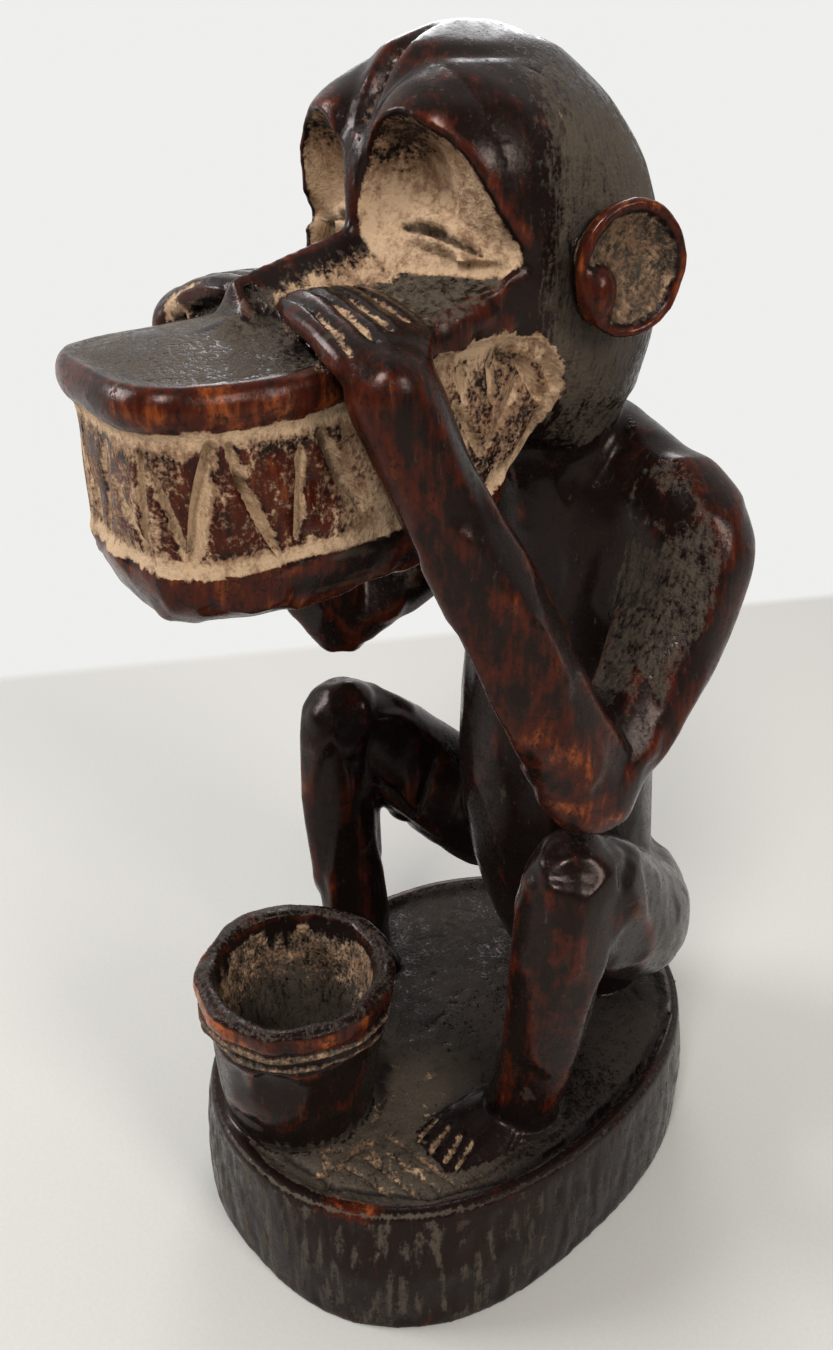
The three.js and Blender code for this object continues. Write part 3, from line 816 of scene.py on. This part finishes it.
def facets(points, size, seed):
    """The flat each point lies on, by number, and its nearness to the next: 0 mid-flat, 1 on a ridge."""
    low, high = points.min(0) - size, points.max(0) + size
    counts = np.ceil((high - low) / size).astype(int)
    grid = np.stack(np.meshgrid(*[np.arange(c) for c in counts], indexing="ij"), -1).reshape(-1, 3)
    rng = np.random.RandomState(seed)
    seeds = low + (grid + rng.rand(len(grid), 3)) * size
    cell_of = -np.ones(counts, np.int64)
    cell_of[tuple(grid.T)] = np.arange(len(grid))
    cell = np.floor((points - low) / size).astype(int)
    best = np.full((len(points), 2), 1e9)
    nearest = np.zeros(len(points), np.int64)
    for dx in (-1, 0, 1):
        for dy in (-1, 0, 1):
            for dz in (-1, 0, 1):
                at = np.clip(cell + (dx, dy, dz), 0, counts - 1)
                number = cell_of[tuple(at.T)]
                gap = np.linalg.norm(points - seeds[number], axis=1)
                nearer = gap < best[:, 0]
                nearest = np.where(nearer, number, nearest)
                best[:, 1] = np.where(nearer, best[:, 0], np.minimum(best[:, 1], gap))
                best[:, 0] = np.where(nearer, gap, best[:, 0])
    return nearest, 1 - np.clip((best[:, 1] - best[:, 0]) / size, 0, 1)


def above_plane(points, normals, flat):
    """How far each point lies above the mean plane of its flat, where the flat is one face and not two."""
    flat = np.unique(flat, return_inverse=True)[1].reshape(-1)
    count = np.bincount(flat)
    middle, facing = (np.stack([np.bincount(flat, part[:, k]) / count for k in range(3)], 1)
                      for part in (points, normals))
    facing /= np.maximum(np.linalg.norm(facing, axis=1, keepdims=True), 1e-6)
    gap = np.sum((points - middle[flat]) * facing[flat], axis=1)
    agree = np.sum(normals * facing[flat], axis=1)
    return gap * smoothstep(0.3, 0.65, agree) * smoothstep(3.2, 1.8, np.abs(gap))


def tool_marks(points, normals, mean, sizes):
    """Adze flats over the body, an uneven dished top and chips down the side of the base."""
    y, z, up = points[:, 1], points[:, 2], normals[:, 2]
    deep = sizes.facet_depth / MM
    flat = facets(points * (1, 1, 0.38), sizes.facet_size / MM, RNG_SEED)[0]
    planed = np.clip(above_plane(points, normals, flat), -deep, deep)
    body = smoothstep(36, 42, z) * (1 - 0.75 * smoothstep(205, 225, z))
    body *= 1 - 0.6 * smoothstep(8, 24, y)
    push = mean(mean(mean(-0.8 * body * planed)))
    push += 0.12 * lattice_noise(points, 11, RNG_SEED + 1)
    # the base's side: long chips, deeper at the front, and a broken edge
    side = smoothstep(3, 0, np.abs(z - 17) - 13) * (np.abs(up) < 0.7)
    stretched = points * (1, 1, 0.28)
    chips = lattice_noise(stretched, 3.4, RNG_SEED + 2) + 0.6 * lattice_noise(stretched, 1.7, RNG_SEED + 3)
    front = smoothstep(30, -40, y)
    push += side * (0.22 + 0.3 * front) * np.minimum(chips, 0.3)
    rim = np.abs(z - RIM_LEVEL) < 1.6
    push += rim * side * 0.25 * lattice_noise(points, 6, RNG_SEED + 6)
    # the cup's lip, a little wavy
    lip = (z > 76.4) * (z < 78.5) * (up > 0.4)
    push += lip * 0.4 * lattice_noise(points, 7, RNG_SEED + 10)
    # the base's top, chopped
    top = (z > 30) * (z < 34.2) * (up > 0.6)
    chopped = facets(points * (1, 1, 0.2), 8, RNG_SEED + 4)[1]
    push += top * (0.5 * (chopped ** 2 - 0.4) + 0.22 * lattice_noise(points, 2.6, RNG_SEED + 5))
    return points + normals * push[:, None]


def store(mesh, name, values):
    layer = mesh.attributes.new(name, "FLOAT", "POINT")
    layer.data.foreach_set("value", values.astype(np.float32))


def stored(mesh, name):
    values = np.empty(len(mesh.vertices), np.float32)
    mesh.attributes[name].data.foreach_get("value", values)
    return values.astype(float)


def bulge(mesh):
    """How far each point stands out of its surroundings, in millimetres: edges above 0, creases below."""
    points, normals = read_points(mesh), read_normals(mesh)
    mean = neighbour_sums(mesh)
    settled = points
    for _ in range(12):
        settled = mean(settled)
    return ((points - settled) * normals).sum(1)


def tree_of(meshes):
    """A search tree over the faces of several shapes."""
    points, faces = [], []
    for mesh in meshes:
        start = len(points)
        points += [Vector(p) for p in read_points(mesh)]
        faces += [tuple(start + v for v in p.vertices) for p in mesh.polygons]
    return BVHTree.FromPolygons(points, faces)


def distances(points, tree, where):
    """Distance from each chosen point to a surface, negative inside it."""
    found = np.full(len(points), 99.0)
    for index in np.where(where)[0]:
        point = Vector(points[index])
        spot, normal, _, gap = tree.find_nearest(point)
        found[index] = -gap if (point - spot).dot(normal) < 0 else gap
    return found


def openness(mesh, points, normals):
    """Share of the sky each point sees past the figure's own forms: 0 in a deep crease, 1 in the open."""
    tree = BVHTree.FromPolygons([Vector(p) for p in points], [tuple(p.vertices) for p in mesh.polygons])
    rng = np.random.RandomState(RNG_SEED)
    ways = rng.normal(size=(9, 3))
    ways /= np.linalg.norm(ways, axis=1)[:, None]
    seen = np.zeros(len(points))
    for index, (point, normal) in enumerate(zip(points, normals)):
        start = Vector(point + normal * 0.4)
        for way in ways:
            towards = way + normal * 1.02
            if tree.ray_cast(start, Vector(towards), 18)[0] is None:
                seen[index] += 1
    return seen / len(ways)


class Surface:
    """What is known of every point of the carved figure, and the coats laid on it so far."""

    def __init__(self, mesh, parts, whole_hood):
        self.points, self.normals = read_points(mesh), read_normals(mesh)
        self.x, self.y, self.z = self.points.T
        self.side, self.up = np.abs(self.x), self.normals[:, 2]
        mean = neighbour_sums(mesh)
        self.curve = mean(stored(mesh, "curve"))
        open_sky = mean(mean(mean(mean(openness(mesh, self.points, self.normals)))))
        self.hollow = smoothstep(0.75, 0.35, open_sky)
        self.gaps = {name: self.gap_to(meshes) for name, meshes in parts.items()}
        nearest = np.argmin(np.stack(list(self.gaps.values())), axis=0)
        self.label = np.array(list(self.gaps))[nearest]
        brow = (self.z > 232) & (self.z < 284) & (self.y < 10)
        self.hood_gap = distances(self.points, tree_of([whole_hood]), brow)
        self.patches = lattice_noise(self.points, 20, RNG_SEED + 9)
        self.flame = lattice_noise(self.points, 5, RNG_SEED + 11)
        self.coats = {name: np.zeros(len(self.points)) for name in ("clay", "dust", "wear", "shade")}
        self.kept_wear = np.ones(len(self.points))

    def gap_to(self, meshes):
        """Distance to some shapes, measured only in and close round the box that holds them."""
        corners = np.vstack([read_points(mesh) for mesh in meshes])
        near = np.all((self.points > corners.min(0) - 3) & (self.points < corners.max(0) + 3), axis=1)
        return np.abs(distances(self.points, tree_of(meshes), near))

    def on(self, name):
        return self.label == name

    def cut(self, cuts, low, high):
        """Where some knife cuts lie, from 0 outside to 1 inside."""
        return smoothstep(low, high, stroke_mask(self.points, cuts))

    def lay(self, **amounts):
        """Raises each named coat to the amount given, where it is less."""
        for name, amount in amounts.items():
            self.coats[name] = np.maximum(self.coats[name], amount)


def paint_face(s):
    """Clay in the eye recesses, fading under the brow and below the cheekbone, and on the nose; painted
    shade under the brow and in the eye slits.
    """
    y, z, side = s.y, s.z, s.side
    recess = smoothstep(-0.7, -1.5, s.hood_gap) * (y < -6) * (z < 272)
    recess *= smoothstep(236.5, 240, z + 0.12 * (side - 12))
    under_brow = z - 0.28 * side
    # clay in the recess, and painted shade under the brow's overhang
    s.lay(clay=recess * (0.95 - 0.5 * smoothstep(250, 261, under_brow)),
          shade=recess * smoothstep(254, 266, under_brow) * 0.25)
    # painted shade in the eye slits
    s.lay(shade=s.cut(EYE_CUTS, 0.1, 0.6) * recess * 0.8)
    nose = s.on("face") * (y < -30) * (side < 11) * (z > 231)
    height = (z - (236 + (y + 24) * 0.176)) / (14.5 + (y + 24) * 0.11)
    s.lay(clay=nose * 0.68 * smoothstep(0.92, 0.52, height) * smoothstep(-62, -46, y),
          dust=nose * 0.52 * smoothstep(0.95, 0.6, height))
    # the slopes under the eyes and the back of the lid, where the painted shade of hollows is kept light
    slope = s.on("face") & (z > 233) & (z < 243) & (y > -38) & (side > 7) & (s.up > 0.3)
    lid_back = s.on("muzzle") & (z > 233) & (y > -40) & (y < -26) & (s.up > 0.4)
    s.lay(clay=slope * smoothstep(18, 8, side) * 0.45, dust=slope * 0.72)
    s.lay(dust=lid_back * 0.6)
    s.lit = slope | lid_back


def paint_muzzle(s):
    """Clay on the ledges, the teeth and the cheeks, a lid whose grey top is dust and a painted reflection,
    and rubbed edges.
    """
    y, z, side, up = s.y, s.z, s.side, s.up
    muzzle, across = s.on("muzzle"), np.abs(s.normals[:, 0])
    low, high = BAND_LOW + muzzle_rise(y) * CHIN_SHARE, BAND_HIGH + muzzle_rise(y)
    level = (z - low) / (high - low)
    band = muzzle * (level > -0.04) * (level < 1.01) * (np.abs(up) < 0.85) * (y < -22)
    ledges = smoothstep(0.86, 0.94, level) + smoothstep(0.11, 0.04, level)
    behind, front = smoothstep(-56, -48, y), smoothstep(-80, -84, y)
    s.lay(clay=band * np.clip(0.36 + 0.55 * ledges + 0.30 * behind + 0.12 * front, 0, 1))
    outline = cheek_distance(s.points)
    cheek = (side > 15) & (side < 33) & (outline < 0.8) & (across > 0.25) & (s.gaps["arm"] > 0.6)
    s.lay(clay=cheek * (0.5 + 0.36 * smoothstep(-3.4, -0.6, outline)))
    # the strokes, and the flats left between the teeth
    strokes = stroke_mask(s.points, CLAY_CUTS)
    s.lay(clay=smoothstep(0.02, 0.3, strokes) * (band + cheek > 0))
    flats = band * smoothstep(0.2, 0, strokes) * smoothstep(0.85, 0.75, level) * (level > 0.1)
    s.lay(wear=flats * 0.42)
    # the lid, whose grey top is dust and a painted reflection of the bright wall, and the lip
    lid_top = muzzle * (z > high + 4.5)
    s.lay(clay=smoothstep(3.2, 0.4, s.gaps["arm"]) * lid_top * 0.5,
          dust=lid_top * (up > 0.7) * (s.curve < 0.08) * (0.64 + 0.2 * s.patches))
    lid_edge = muzzle * (level > 1.0) * (z < high + 7.5)
    near_corner = smoothstep(12, 22, side) * smoothstep(-40, -62, y)
    s.lay(wear=lid_edge * (0.20 + 0.35 * s.flame + 0.28 * near_corner))
    lower_lip = muzzle * (level < -0.02) * (up > -0.75)
    s.lay(wear=lower_lip * (0.10 + 0.4 * smoothstep(0.02, 0.12, s.curve)))
    s.lay(wear=muzzle * (y > -38) * (level > 0.8) * (across > 0.5) * 0.30)


def paint_cup(s):
    """Clay and dust on the ridges between the grooves and in the well, and a rubbed band below the lip."""
    z, cup = s.z, s.on("cup")
    radius, angle = cup_place(s.points)
    upper, lower = (smoothstep(1.3, 0.7, np.abs(z - level)) for level in CUP_RIDGES)
    ridges = cup * (radius > 20) * np.maximum(upper, lower)
    s.lay(clay=ridges * 0.46, dust=ridges * 0.9)
    well = cup * (radius < 19) * (z < 77)
    s.lay(clay=well * 0.5 * smoothstep(50, 66, z), dust=well * 0.8)
    band = cup * (radius > 22) * (z > 70.6) * (z < 77)
    front = smoothstep(-0.2, 0.8, np.cos(angle + 2.2))
    s.lay(wear=band * smoothstep(76.9, 76, z) * (0.38 + 0.5 * front + 0.4 * s.flame))
    lip = cup * (z > 76.5)
    s.lay(dust=lip * 0.36)
    s.kept_wear *= np.where(lip, 0.35, 1)


def paint_base(s):
    """A dusty top, paler before the cup, with a painted shadow of the figure that deepens away from the
    cup, painted shade in the trenches, and pale chips down the side and on the rim.
    """
    x, y, z, base = s.x, s.y, s.z, s.on("base")
    top = base * (s.up > 0.6) * (z > 29) * (z < 34.6)
    near_cup = smoothstep(44, 22, np.hypot(x - 16, y + 44))
    # dust over the top; the shade laid here is a painted shadow of the figure, heavier away from the cup
    s.lay(dust=top * (0.72 + 0.25 * near_cup + 0.25 * lattice_noise(s.points, 14, RNG_SEED + 7)),
          shade=top * (0.78 - 0.66 * near_cup))
    fan = s.cut(FAN_CUTS + LOOSE_CUTS, 0.05, 0.5) * top
    s.lay(clay=top * near_cup * 0.24 + fan * (0.06 + 0.2 * near_cup))
    # painted shade in the trenches
    s.lay(shade=s.cut(TRENCH_CUTS, 0.1, 0.6) * base * (z < 34.6) * 0.95)
    wall = base * (np.abs(s.up) < 0.7) * (z < 33)
    streaks = lattice_noise(s.points * (1, 1, 0.2), 1.8, RNG_SEED + 8)
    front = smoothstep(20, -50, y)
    chips = smoothstep(0.16, 0.42, streaks + 0.15 * s.patches) * (0.15 + 0.85 * front)
    s.lay(clay=wall * smoothstep(0.5, 0.9, chips) * 0.16 * front, dust=wall * (0.10 + 0.62 * chips))
    rim = base * (np.abs(z - RIM_LEVEL) < 1.3) * smoothstep(0.0, 0.1, s.curve)
    rim_chip = smoothstep(13, 4, np.hypot(x - 32, y + 58))
    s.lay(wear=rim * rim_chip * 0.6)
    s.kept_wear *= np.where(base, 0.12 + 0.88 * rim_chip, 1)


def paint_limbs(s):
    """Rubbed forearms, shins and shoulders, dusty hollows and upper arms, and clay in fingers and toes."""
    x, y, z = s.x, s.y, s.z
    arms, legs = s.on("arm"), s.on("leg")
    s.lay(clay=s.cut(FINGER_CUTS, 0.1, 0.45) * (z > 228) * 0.66)
    s.lay(clay=s.cut(TOE_CUTS, 0.1, 0.5) * (z < 42) * 0.6)
    s.lay(dust=(arms | legs | s.on("torso")) * s.hollow * 0.50 * (s.up > -0.5))
    s.lay(dust=arms * (z > 150) * (y > 4) * smoothstep(0.25, 0.75, -s.normals[:, 1]) * 0.62)
    near, far = (s.normals @ np.array(way) for way in ((0.78, -0.60, 0), (-0.78, -0.60, 0)))
    middle = smoothstep(0.62, 0.96, np.where(x > 0, near, far))
    lower = smoothstep(205, 150, z)
    rubbed = 0.05 + 0.04 * lower + (0.14 + 0.24 * lower) * middle + 0.3 * s.flame * lower
    s.lay(wear=arms * (y < 0) * smoothstep(228, 214, z) * rubbed)
    s.lay(wear=legs * (y < 6) * smoothstep(40, 60, z) * (0.02 + 0.17 * middle))
    s.lay(wear=arms * (y > 4) * smoothstep(0.3, 0.9, s.normals[:, 0] * np.sign(x)) * 0.24)
    s.kept_wear *= np.where(legs, smoothstep(36, 46, z) * (1 - 0.6 * smoothstep(102, 112, z)), 1)
    s.kept_wear *= 1 - 0.6 * arms * smoothstep(226, 231, z) * smoothstep(0.3, 0.7, s.up)


def paint_head(s):
    """A rubbed crown, brow edge and ear rims, dusty temples whose grey is partly a painted sheen, and clay
    in the furrow and the ears.
    """
    y, z, side, curve = s.y, s.z, s.side, s.curve
    hood, ears = s.on("hood"), s.on("ear")
    s.lay(wear=hood * smoothstep(0.75, 0.95, s.normals @ np.array([0.62, -0.44, 0.65])) * 0.12)
    # grey on the temples: dust, and partly a painted sheen
    temple_dust_and_sheen = hood * smoothstep(0.35, 0.85, np.abs(s.normals[:, 0])) * smoothstep(-16, -4, y)
    s.lay(dust=temple_dust_and_sheen * (0.74 + 0.3 * s.patches))
    s.lay(clay=hood * (side < 5) * (y < -12) * (z > 258) * smoothstep(0.0, -0.1, curve) * 0.4)
    s.lay(clay=s.cut(SCRATCHES, 0.2, 0.6) * (z > 250) * 0.34)
    edge = smoothstep(0.8, 0.2, np.abs(s.hood_gap)) * smoothstep(0.17, 0.36, curve)
    s.lay(wear=edge * (y < -10) * (z > 241) * (side > 6) * 0.56)
    s.lay(wear=ears * smoothstep(0.10, 0.24, curve) * 0.52)
    _, middle_y, middle_z = EAR_CENTRE
    bowl = ears & (side > 31) & (np.hypot(y - middle_y, z - middle_z) < 9.6) & (curve < 0.05)
    lobe = np.hypot(y + 3.5, z - 238) < 5.2
    s.coats["clay"][bowl & ~lobe] = 0.5
    s.coats["dust"][bowl & ~lobe] = 0.9
    s.coats["wear"][bowl] = 0


def paint(mesh, parts, whole_hood):
    """Stores where the clay, the dust and painted sheen, the wear and the painted shade lie, as attributes
    that the material reads.
    """
    s = Surface(mesh, parts, whole_hood)
    s.lay(wear=smoothstep(0.08, 0.26, s.curve) * np.where(s.on("hood"), 0.24, 0.38))
    for paint_part in (paint_face, paint_muzzle, paint_cup, paint_base, paint_limbs, paint_head):
        paint_part(s)
    s.coats["wear"] *= s.kept_wear * (1 - 0.85 * s.hollow * ~s.on("muzzle"))
    # painted shade where little sky is seen and in creases, halved on clay and kept light on the slopes
    # under the eyes
    shade = np.clip(0.9 * s.hollow + smoothstep(-0.04, -0.22, s.curve) * 0.5, 0, 1)
    shade = np.where(s.coats["clay"] > 0.5, shade * 0.5, shade)
    s.lay(shade=np.where(s.lit, shade * 0.35, shade))
    for name, values in s.coats.items():
        store(mesh, name, np.clip(values, 0, 1))


class Nodes:
    """Short names for the nodes of one tree."""

    def __init__(self, tree):
        self.tree = tree

    def node(self, kind, inputs, **settings):
        made = self.tree.nodes.new("ShaderNode" + kind)
        for key, value in settings.items():
            setattr(made, key, value)
        for key, value in inputs.items():
            if isinstance(value, bpy.types.NodeSocket):
                self.tree.links.new(value, made.inputs[key])
            else:
                made.inputs[key].default_value = value
        return made

    def attribute(self, name):
        return self.node("Attribute", {}, attribute_name=name).outputs["Fac"]

    def math(self, operation, a, b):
        return self.node("Math", {0: a, 1: b}, operation=operation).outputs[0]

    def total(self, start, *terms):
        """The start with each term, a value and its weight, added round the value's middle."""
        for value, weight in terms:
            shifted = self.math("SUBTRACT", value, 0.5)
            start = self.math("ADD", start, self.math("MULTIPLY", shifted, weight))
        return start

    def step(self, value, low, high, top=1.0):
        made = self.node("MapRange", {"Value": value, "From Min": low, "From Max": high, "To Max": top},
                         interpolation_type="SMOOTHSTEP")
        return made.outputs["Result"]

    def mix(self, share, a, b):
        return self.node("Mix", {0: share, 6: a, 7: b}, data_type="RGBA").outputs[2]


class Finish(Nodes):
    """One material, with its shader and the place of each point on the piece."""

    def __init__(self, name):
        self.material = bpy.data.materials.new(name)
        self.material.use_nodes = True
        super().__init__(self.material.node_tree)
        self.shader = self.tree.nodes["Principled BSDF"]
        self.place = self.tree.nodes.new("ShaderNodeTexCoord").outputs["Object"]

    def noise(self, scale, detail=3, roughness=0.55, stretch=None):
        place = self.place
        if stretch:
            place = self.node("Mapping", {"Vector": place, "Scale": stretch}).outputs["Vector"]
        inputs = {"Vector": place, "Scale": scale, "Detail": detail, "Roughness": roughness}
        return self.node("TexNoise", inputs).outputs["Fac"]

    def connect(self, name, socket):
        self.tree.links.new(socket, self.shader.inputs[name])

    def set(self, name, value):
        self.shader.inputs[name].default_value = value


def carved_wood(finish):
    """Smoke-dark hardwood, rubbed red on its edges, with pale clay in the face and cuts, grey dust that
    also paints a sheen, and painted shade in the hollows.
    """
    f = Finish("carved_wood")
    woods = (*finish.dark, 1), (*finish.worn, 1), (*finish.bare, 1)
    clays = (*finish.old_clay, 1), (*finish.clay, 1)
    grey = (*finish.dust, 1)
    drift = f.noise(70, 3)
    mottle = f.noise(300, 5, 0.65)
    fleck = f.noise(1200, 3, 0.6)
    fibre = f.noise(900, 3, 0.6, stretch=(1, 1, 0.1))
    rub = f.noise(420, 4, 0.6, stretch=(1, 1, 0.45))
    wear, clay, dust, shade = (f.attribute(name) for name in ("wear", "clay", "dust", "shade"))
    # the wood: dark, then worn red, then bare; charred spots and grey nicks
    rubbed = f.total(wear, (drift, 0.8), (rub, 0.9), (fibre, 0.6))
    wood = f.mix(f.step(rubbed, 0.11, 0.50), woods[0], woods[1])
    wood = f.mix(f.step(rubbed, 0.46, 1.0, 0.9), wood, woods[2])
    char = f.step(f.total(mottle, (fleck, 0.6)), 0.52, 0.68, 0.7)
    wood = f.mix(char, wood, CHAR_COLOUR)
    nick = f.step(f.noise(230, 3, 0.6, stretch=(1, 0.12, 0.5)), 0.66, 0.72, 0.4)
    wood = f.mix(nick, wood, grey)
    # dust and painted sheen over it, then clay, then the painted shade of the hollows
    dusty = f.step(f.total(dust, (mottle, 1.2), (fleck, 0.8), (fibre, 1.6)), 0.24, 0.95, 0.92)
    wood = f.mix(dusty, wood, grey)
    packed = f.total(clay, (mottle, 0.9), (fleck, 0.7), (rub, 0.5))
    clayed = f.step(packed, 0.36, 0.62)
    tone = f.step(f.total(packed, (drift, 1.2), (rub, 0.9)), 0.46, 1.05)
    colour = f.mix(clayed, wood, f.mix(tone, *clays))
    # painted shade: the colour darkens towards the shade colour where the shade attribute is high
    colour = f.mix(f.step(shade, 0.15, 1.0, 0.88), colour, PAINTED_SHADE_COLOUR)
    f.connect("Base Color", colour)
    # clay, and the grey of dust and painted sheen, are matt and gritty; the wood is polished
    matt = f.math("MAXIMUM", f.math("MULTIPLY", clayed, 0.60), f.math("MULTIPLY", dusty, 0.48))
    gloss = f.math("ADD", f.step(f.total(mottle, (fleck, 0.5)), 0.25, 0.8, 0.20), 0.17)
    f.connect("Roughness", f.math("ADD", gloss, matt))
    coarse = f.math("ADD", f.math("MULTIPLY", matt, 1.4), 0.05)
    grit = f.math("MULTIPLY", f.total(fleck, (mottle, 1.6)), coarse)
    relief = f.math("ADD", grit, f.math("MULTIPLY", fibre, 0.03))
    bump = f.node("Bump", {"Height": relief, "Strength": 0.55, "Distance": 0.0007})
    f.connect("Normal", bump.outputs["Normal"])
    f.set("IOR", 1.48)
    f.set("Specular IOR Level", 0.34)
    f.set("Specular Tint", (0.78, 0.64, 0.60, 1))
    return f.material


class FIGURE_OT_carve(bpy.types.Operator):
    """Carve the monkey from the block: main forms, smoothing, cuts and tool marks"""

    bl_idname = "figure.carve"
    bl_label = "Carve the monkey"

    def execute(self, context):
        sizes = context.scene.figure_sizes
        whole_hood, carved_hood = hood()
        parts = {
            "base": [base_block(sizes)], "cup": [cup_wall()], "muzzle": muzzle_layers(),
            "hood": [carved_hood], "face": face_parts(), "ear": [*ear(1), *ear(-1)], "torso": torso(),
            "leg": [*leg(1), *leg(-1)], "arm": [*arm(1), *arm(-1)],
        }
        blank = gather([mesh.copy() for meshes in parts.values() for mesh in meshes])
        fine = with_modifier(blank, "REMESH", mode="VOXEL", voxel_size=sizes.fine_grid)
        soften(fine, sizes.smoothing)
        points = tool_marks(read_points(fine), read_normals(fine), neighbour_sums(fine), sizes)
        points = panel_cuts(points, read_normals(fine))
        points = cut_strokes(points, read_normals(fine), BODY_CUTS + BASE_CUTS)
        write_points(fine, points)
        store(fine, "curve", bulge(fine))
        share = sizes.triangles / (2 * len(fine.polygons))
        mesh = with_modifier(fine, "DECIMATE", ratio=min(1, share))
        for polygon in mesh.polygons:
            polygon.use_smooth = True
        paint(mesh, parts, whole_hood)
        mesh.materials.append(carved_wood(context.scene.figure_finish))
        piece = bpy.data.objects.new("carved_monkey", mesh)
        context.scene.collection.objects.link(piece)
        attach(piece, "root")
        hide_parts(NODE)
        return {"FINISHED"}


def pale_floor(stage):
    """A pale floor that lightens into a white wall some way behind the figure."""
    f = Finish("pale_floor")
    f.set("Roughness", 0.9)
    f.set("Specular IOR Level", 0.2)
    grain = f.step(f.noise(900, 2), 0.3, 0.7)
    f.connect("Base Color", f.mix(grain, (*(0.97 * c for c in stage.floor), 1), (*stage.floor, 1)))
    axes = f.node("SeparateXYZ", {"Vector": f.place}).outputs
    behind = f.math("ADD", *(f.math("MULTIPLY", axes[axis], share) for axis, share in zip("XY", WALL_WAY)))
    glow = f.node("Emission", {"Color": (*stage.wall, 1)})
    both = f.node("MixShader", {0: f.step(behind, *WALL_FADE), 1: f.shader.outputs[0], 2: glow.outputs[0]})
    f.tree.links.new(both.outputs[0], f.tree.nodes["Material Output"].inputs["Surface"])
    return f.material


def pale_room(stage):
    """A pale room that is lighter behind the figure than on the viewer's side."""
    world = bpy.data.worlds.new("room")
    world.use_nodes = True
    room = Nodes(world.node_tree)
    way = room.node("TexCoord", {}).outputs["Generated"]
    facing = room.node("VectorMath", {0: way, 1: BRIGHT_WAY}, operation="DOT_PRODUCT").outputs["Value"]
    tint = room.mix(room.step(facing, -0.2, 0.7), (*stage.dim_wall, 1), (*stage.wall, 1))
    room.tree.links.new(tint, room.tree.nodes["Background"].inputs["Color"])
    return world


class FIGURE_OT_stage(bpy.types.Operator):
    """Set the pale floor, the soft lights and the camera"""

    bl_idname = "figure.stage"
    bl_label = "Set the stage"

    def execute(self, context):
        scene = context.scene
        scene.view_settings.view_transform = "Standard"
        scene.view_settings.gamma = VIEW_GAMMA
        stage = scene.figure_stage
        bm = bmesh.new()
        bmesh.ops.create_grid(bm, x_segments=1, y_segments=1, size=FLOOR_HALF)
        mesh = bpy.data.meshes.new("floor")
        bm.to_mesh(mesh)
        bm.free()
        floor = bpy.data.objects.new("floor", mesh)
        scene.collection.objects.link(floor)
        mesh.materials.append(pale_floor(stage))
        scene.world = pale_room(stage)
        for name, (place, width, power, colour) in LAMPS.items():
            self.add_light(scene, name, place, width, power * stage.light, colour)
        camera = bpy.data.objects.new("camera", bpy.data.cameras.new("camera"))
        scene.collection.objects.link(camera)
        scene.camera = camera
        place_camera(camera)
        return {"FINISHED"}

    def add_light(self, scene, name, place, width, power, colour):
        lamp = bpy.data.lights.new(name, "AREA")
        lamp.shape = "RECTANGLE"
        lamp.size = width
        lamp.size_y = width * 1.4
        lamp.energy = power
        lamp.color = colour
        holder = bpy.data.objects.new(name, lamp)
        holder.location = place
        aim = Vector(LAMP_AIM) - Vector(place)
        holder.rotation_euler = aim.to_track_quat("-Z", "Y").to_euler()
        scene.collection.objects.link(holder)


def place_camera(camera):
    """Sets the camera before the figure's left shoulder, looking down on it."""
    azimuth, elevation, roll = (math.radians(angle) for angle in (VIEW_AZIMUTH, VIEW_ELEVATION, VIEW_ROLL))
    back = Vector((math.sin(azimuth) * math.cos(elevation), -math.cos(azimuth) * math.cos(elevation),
                   math.sin(elevation)))
    right = Vector(UPRIGHT).cross(back).normalized()
    up = back.cross(right)
    rolled_right = math.cos(roll) * right + math.sin(roll) * up
    rolled_up = -math.sin(roll) * right + math.cos(roll) * up
    place = Vector(VIEW_CENTRE) + back * VIEW_DISTANCE
    place += rolled_right * VIEW_SHIFT[0] + rolled_up * VIEW_SHIFT[1]
    turn = Matrix((rolled_right, rolled_up, back)).transposed().to_4x4()
    camera.matrix_world = Matrix.Translation(place) @ turn
    camera.data.sensor_width = FILM_WIDTH
    camera.data.sensor_fit = "AUTO"
    camera.data.lens = FOCAL_PIXELS / FRAME_PIXELS * FILM_WIDTH
    camera.data.clip_start = 0.01
    camera.data.clip_end = 60


class FIGURE_PT_panel(bpy.types.Panel):
    """The figure's tools in the sidebar"""

    bl_label = "Carved monkey"
    bl_idname = "FIGURE_PT_panel"
    bl_space_type = "VIEW_3D"
    bl_region_type = "UI"
    bl_category = "Figure"

    def draw(self, context):
        for operator in OPERATORS:
            self.layout.operator(operator.bl_idname)


OPERATORS = (FIGURE_OT_stage, FIGURE_OT_carve)
CLASSES = (FigureSizes, FigureFinish, FigureStage, *OPERATORS, FIGURE_PT_panel)


def register():
    for cls in CLASSES:
        bpy.utils.register_class(cls)
    bpy.types.Scene.figure_sizes = PointerProperty(type=FigureSizes)
    bpy.types.Scene.figure_finish = PointerProperty(type=FigureFinish)
    bpy.types.Scene.figure_stage = PointerProperty(type=FigureStage)


def unregister():
    del bpy.types.Scene.figure_sizes
    del bpy.types.Scene.figure_finish
    del bpy.types.Scene.figure_stage
    for cls in reversed(CLASSES):
        bpy.utils.unregister_class(cls)


def main():
    register()
    bpy.ops.figure.stage()
    bpy.ops.figure.carve()


if __name__ == "__main__":
    main()
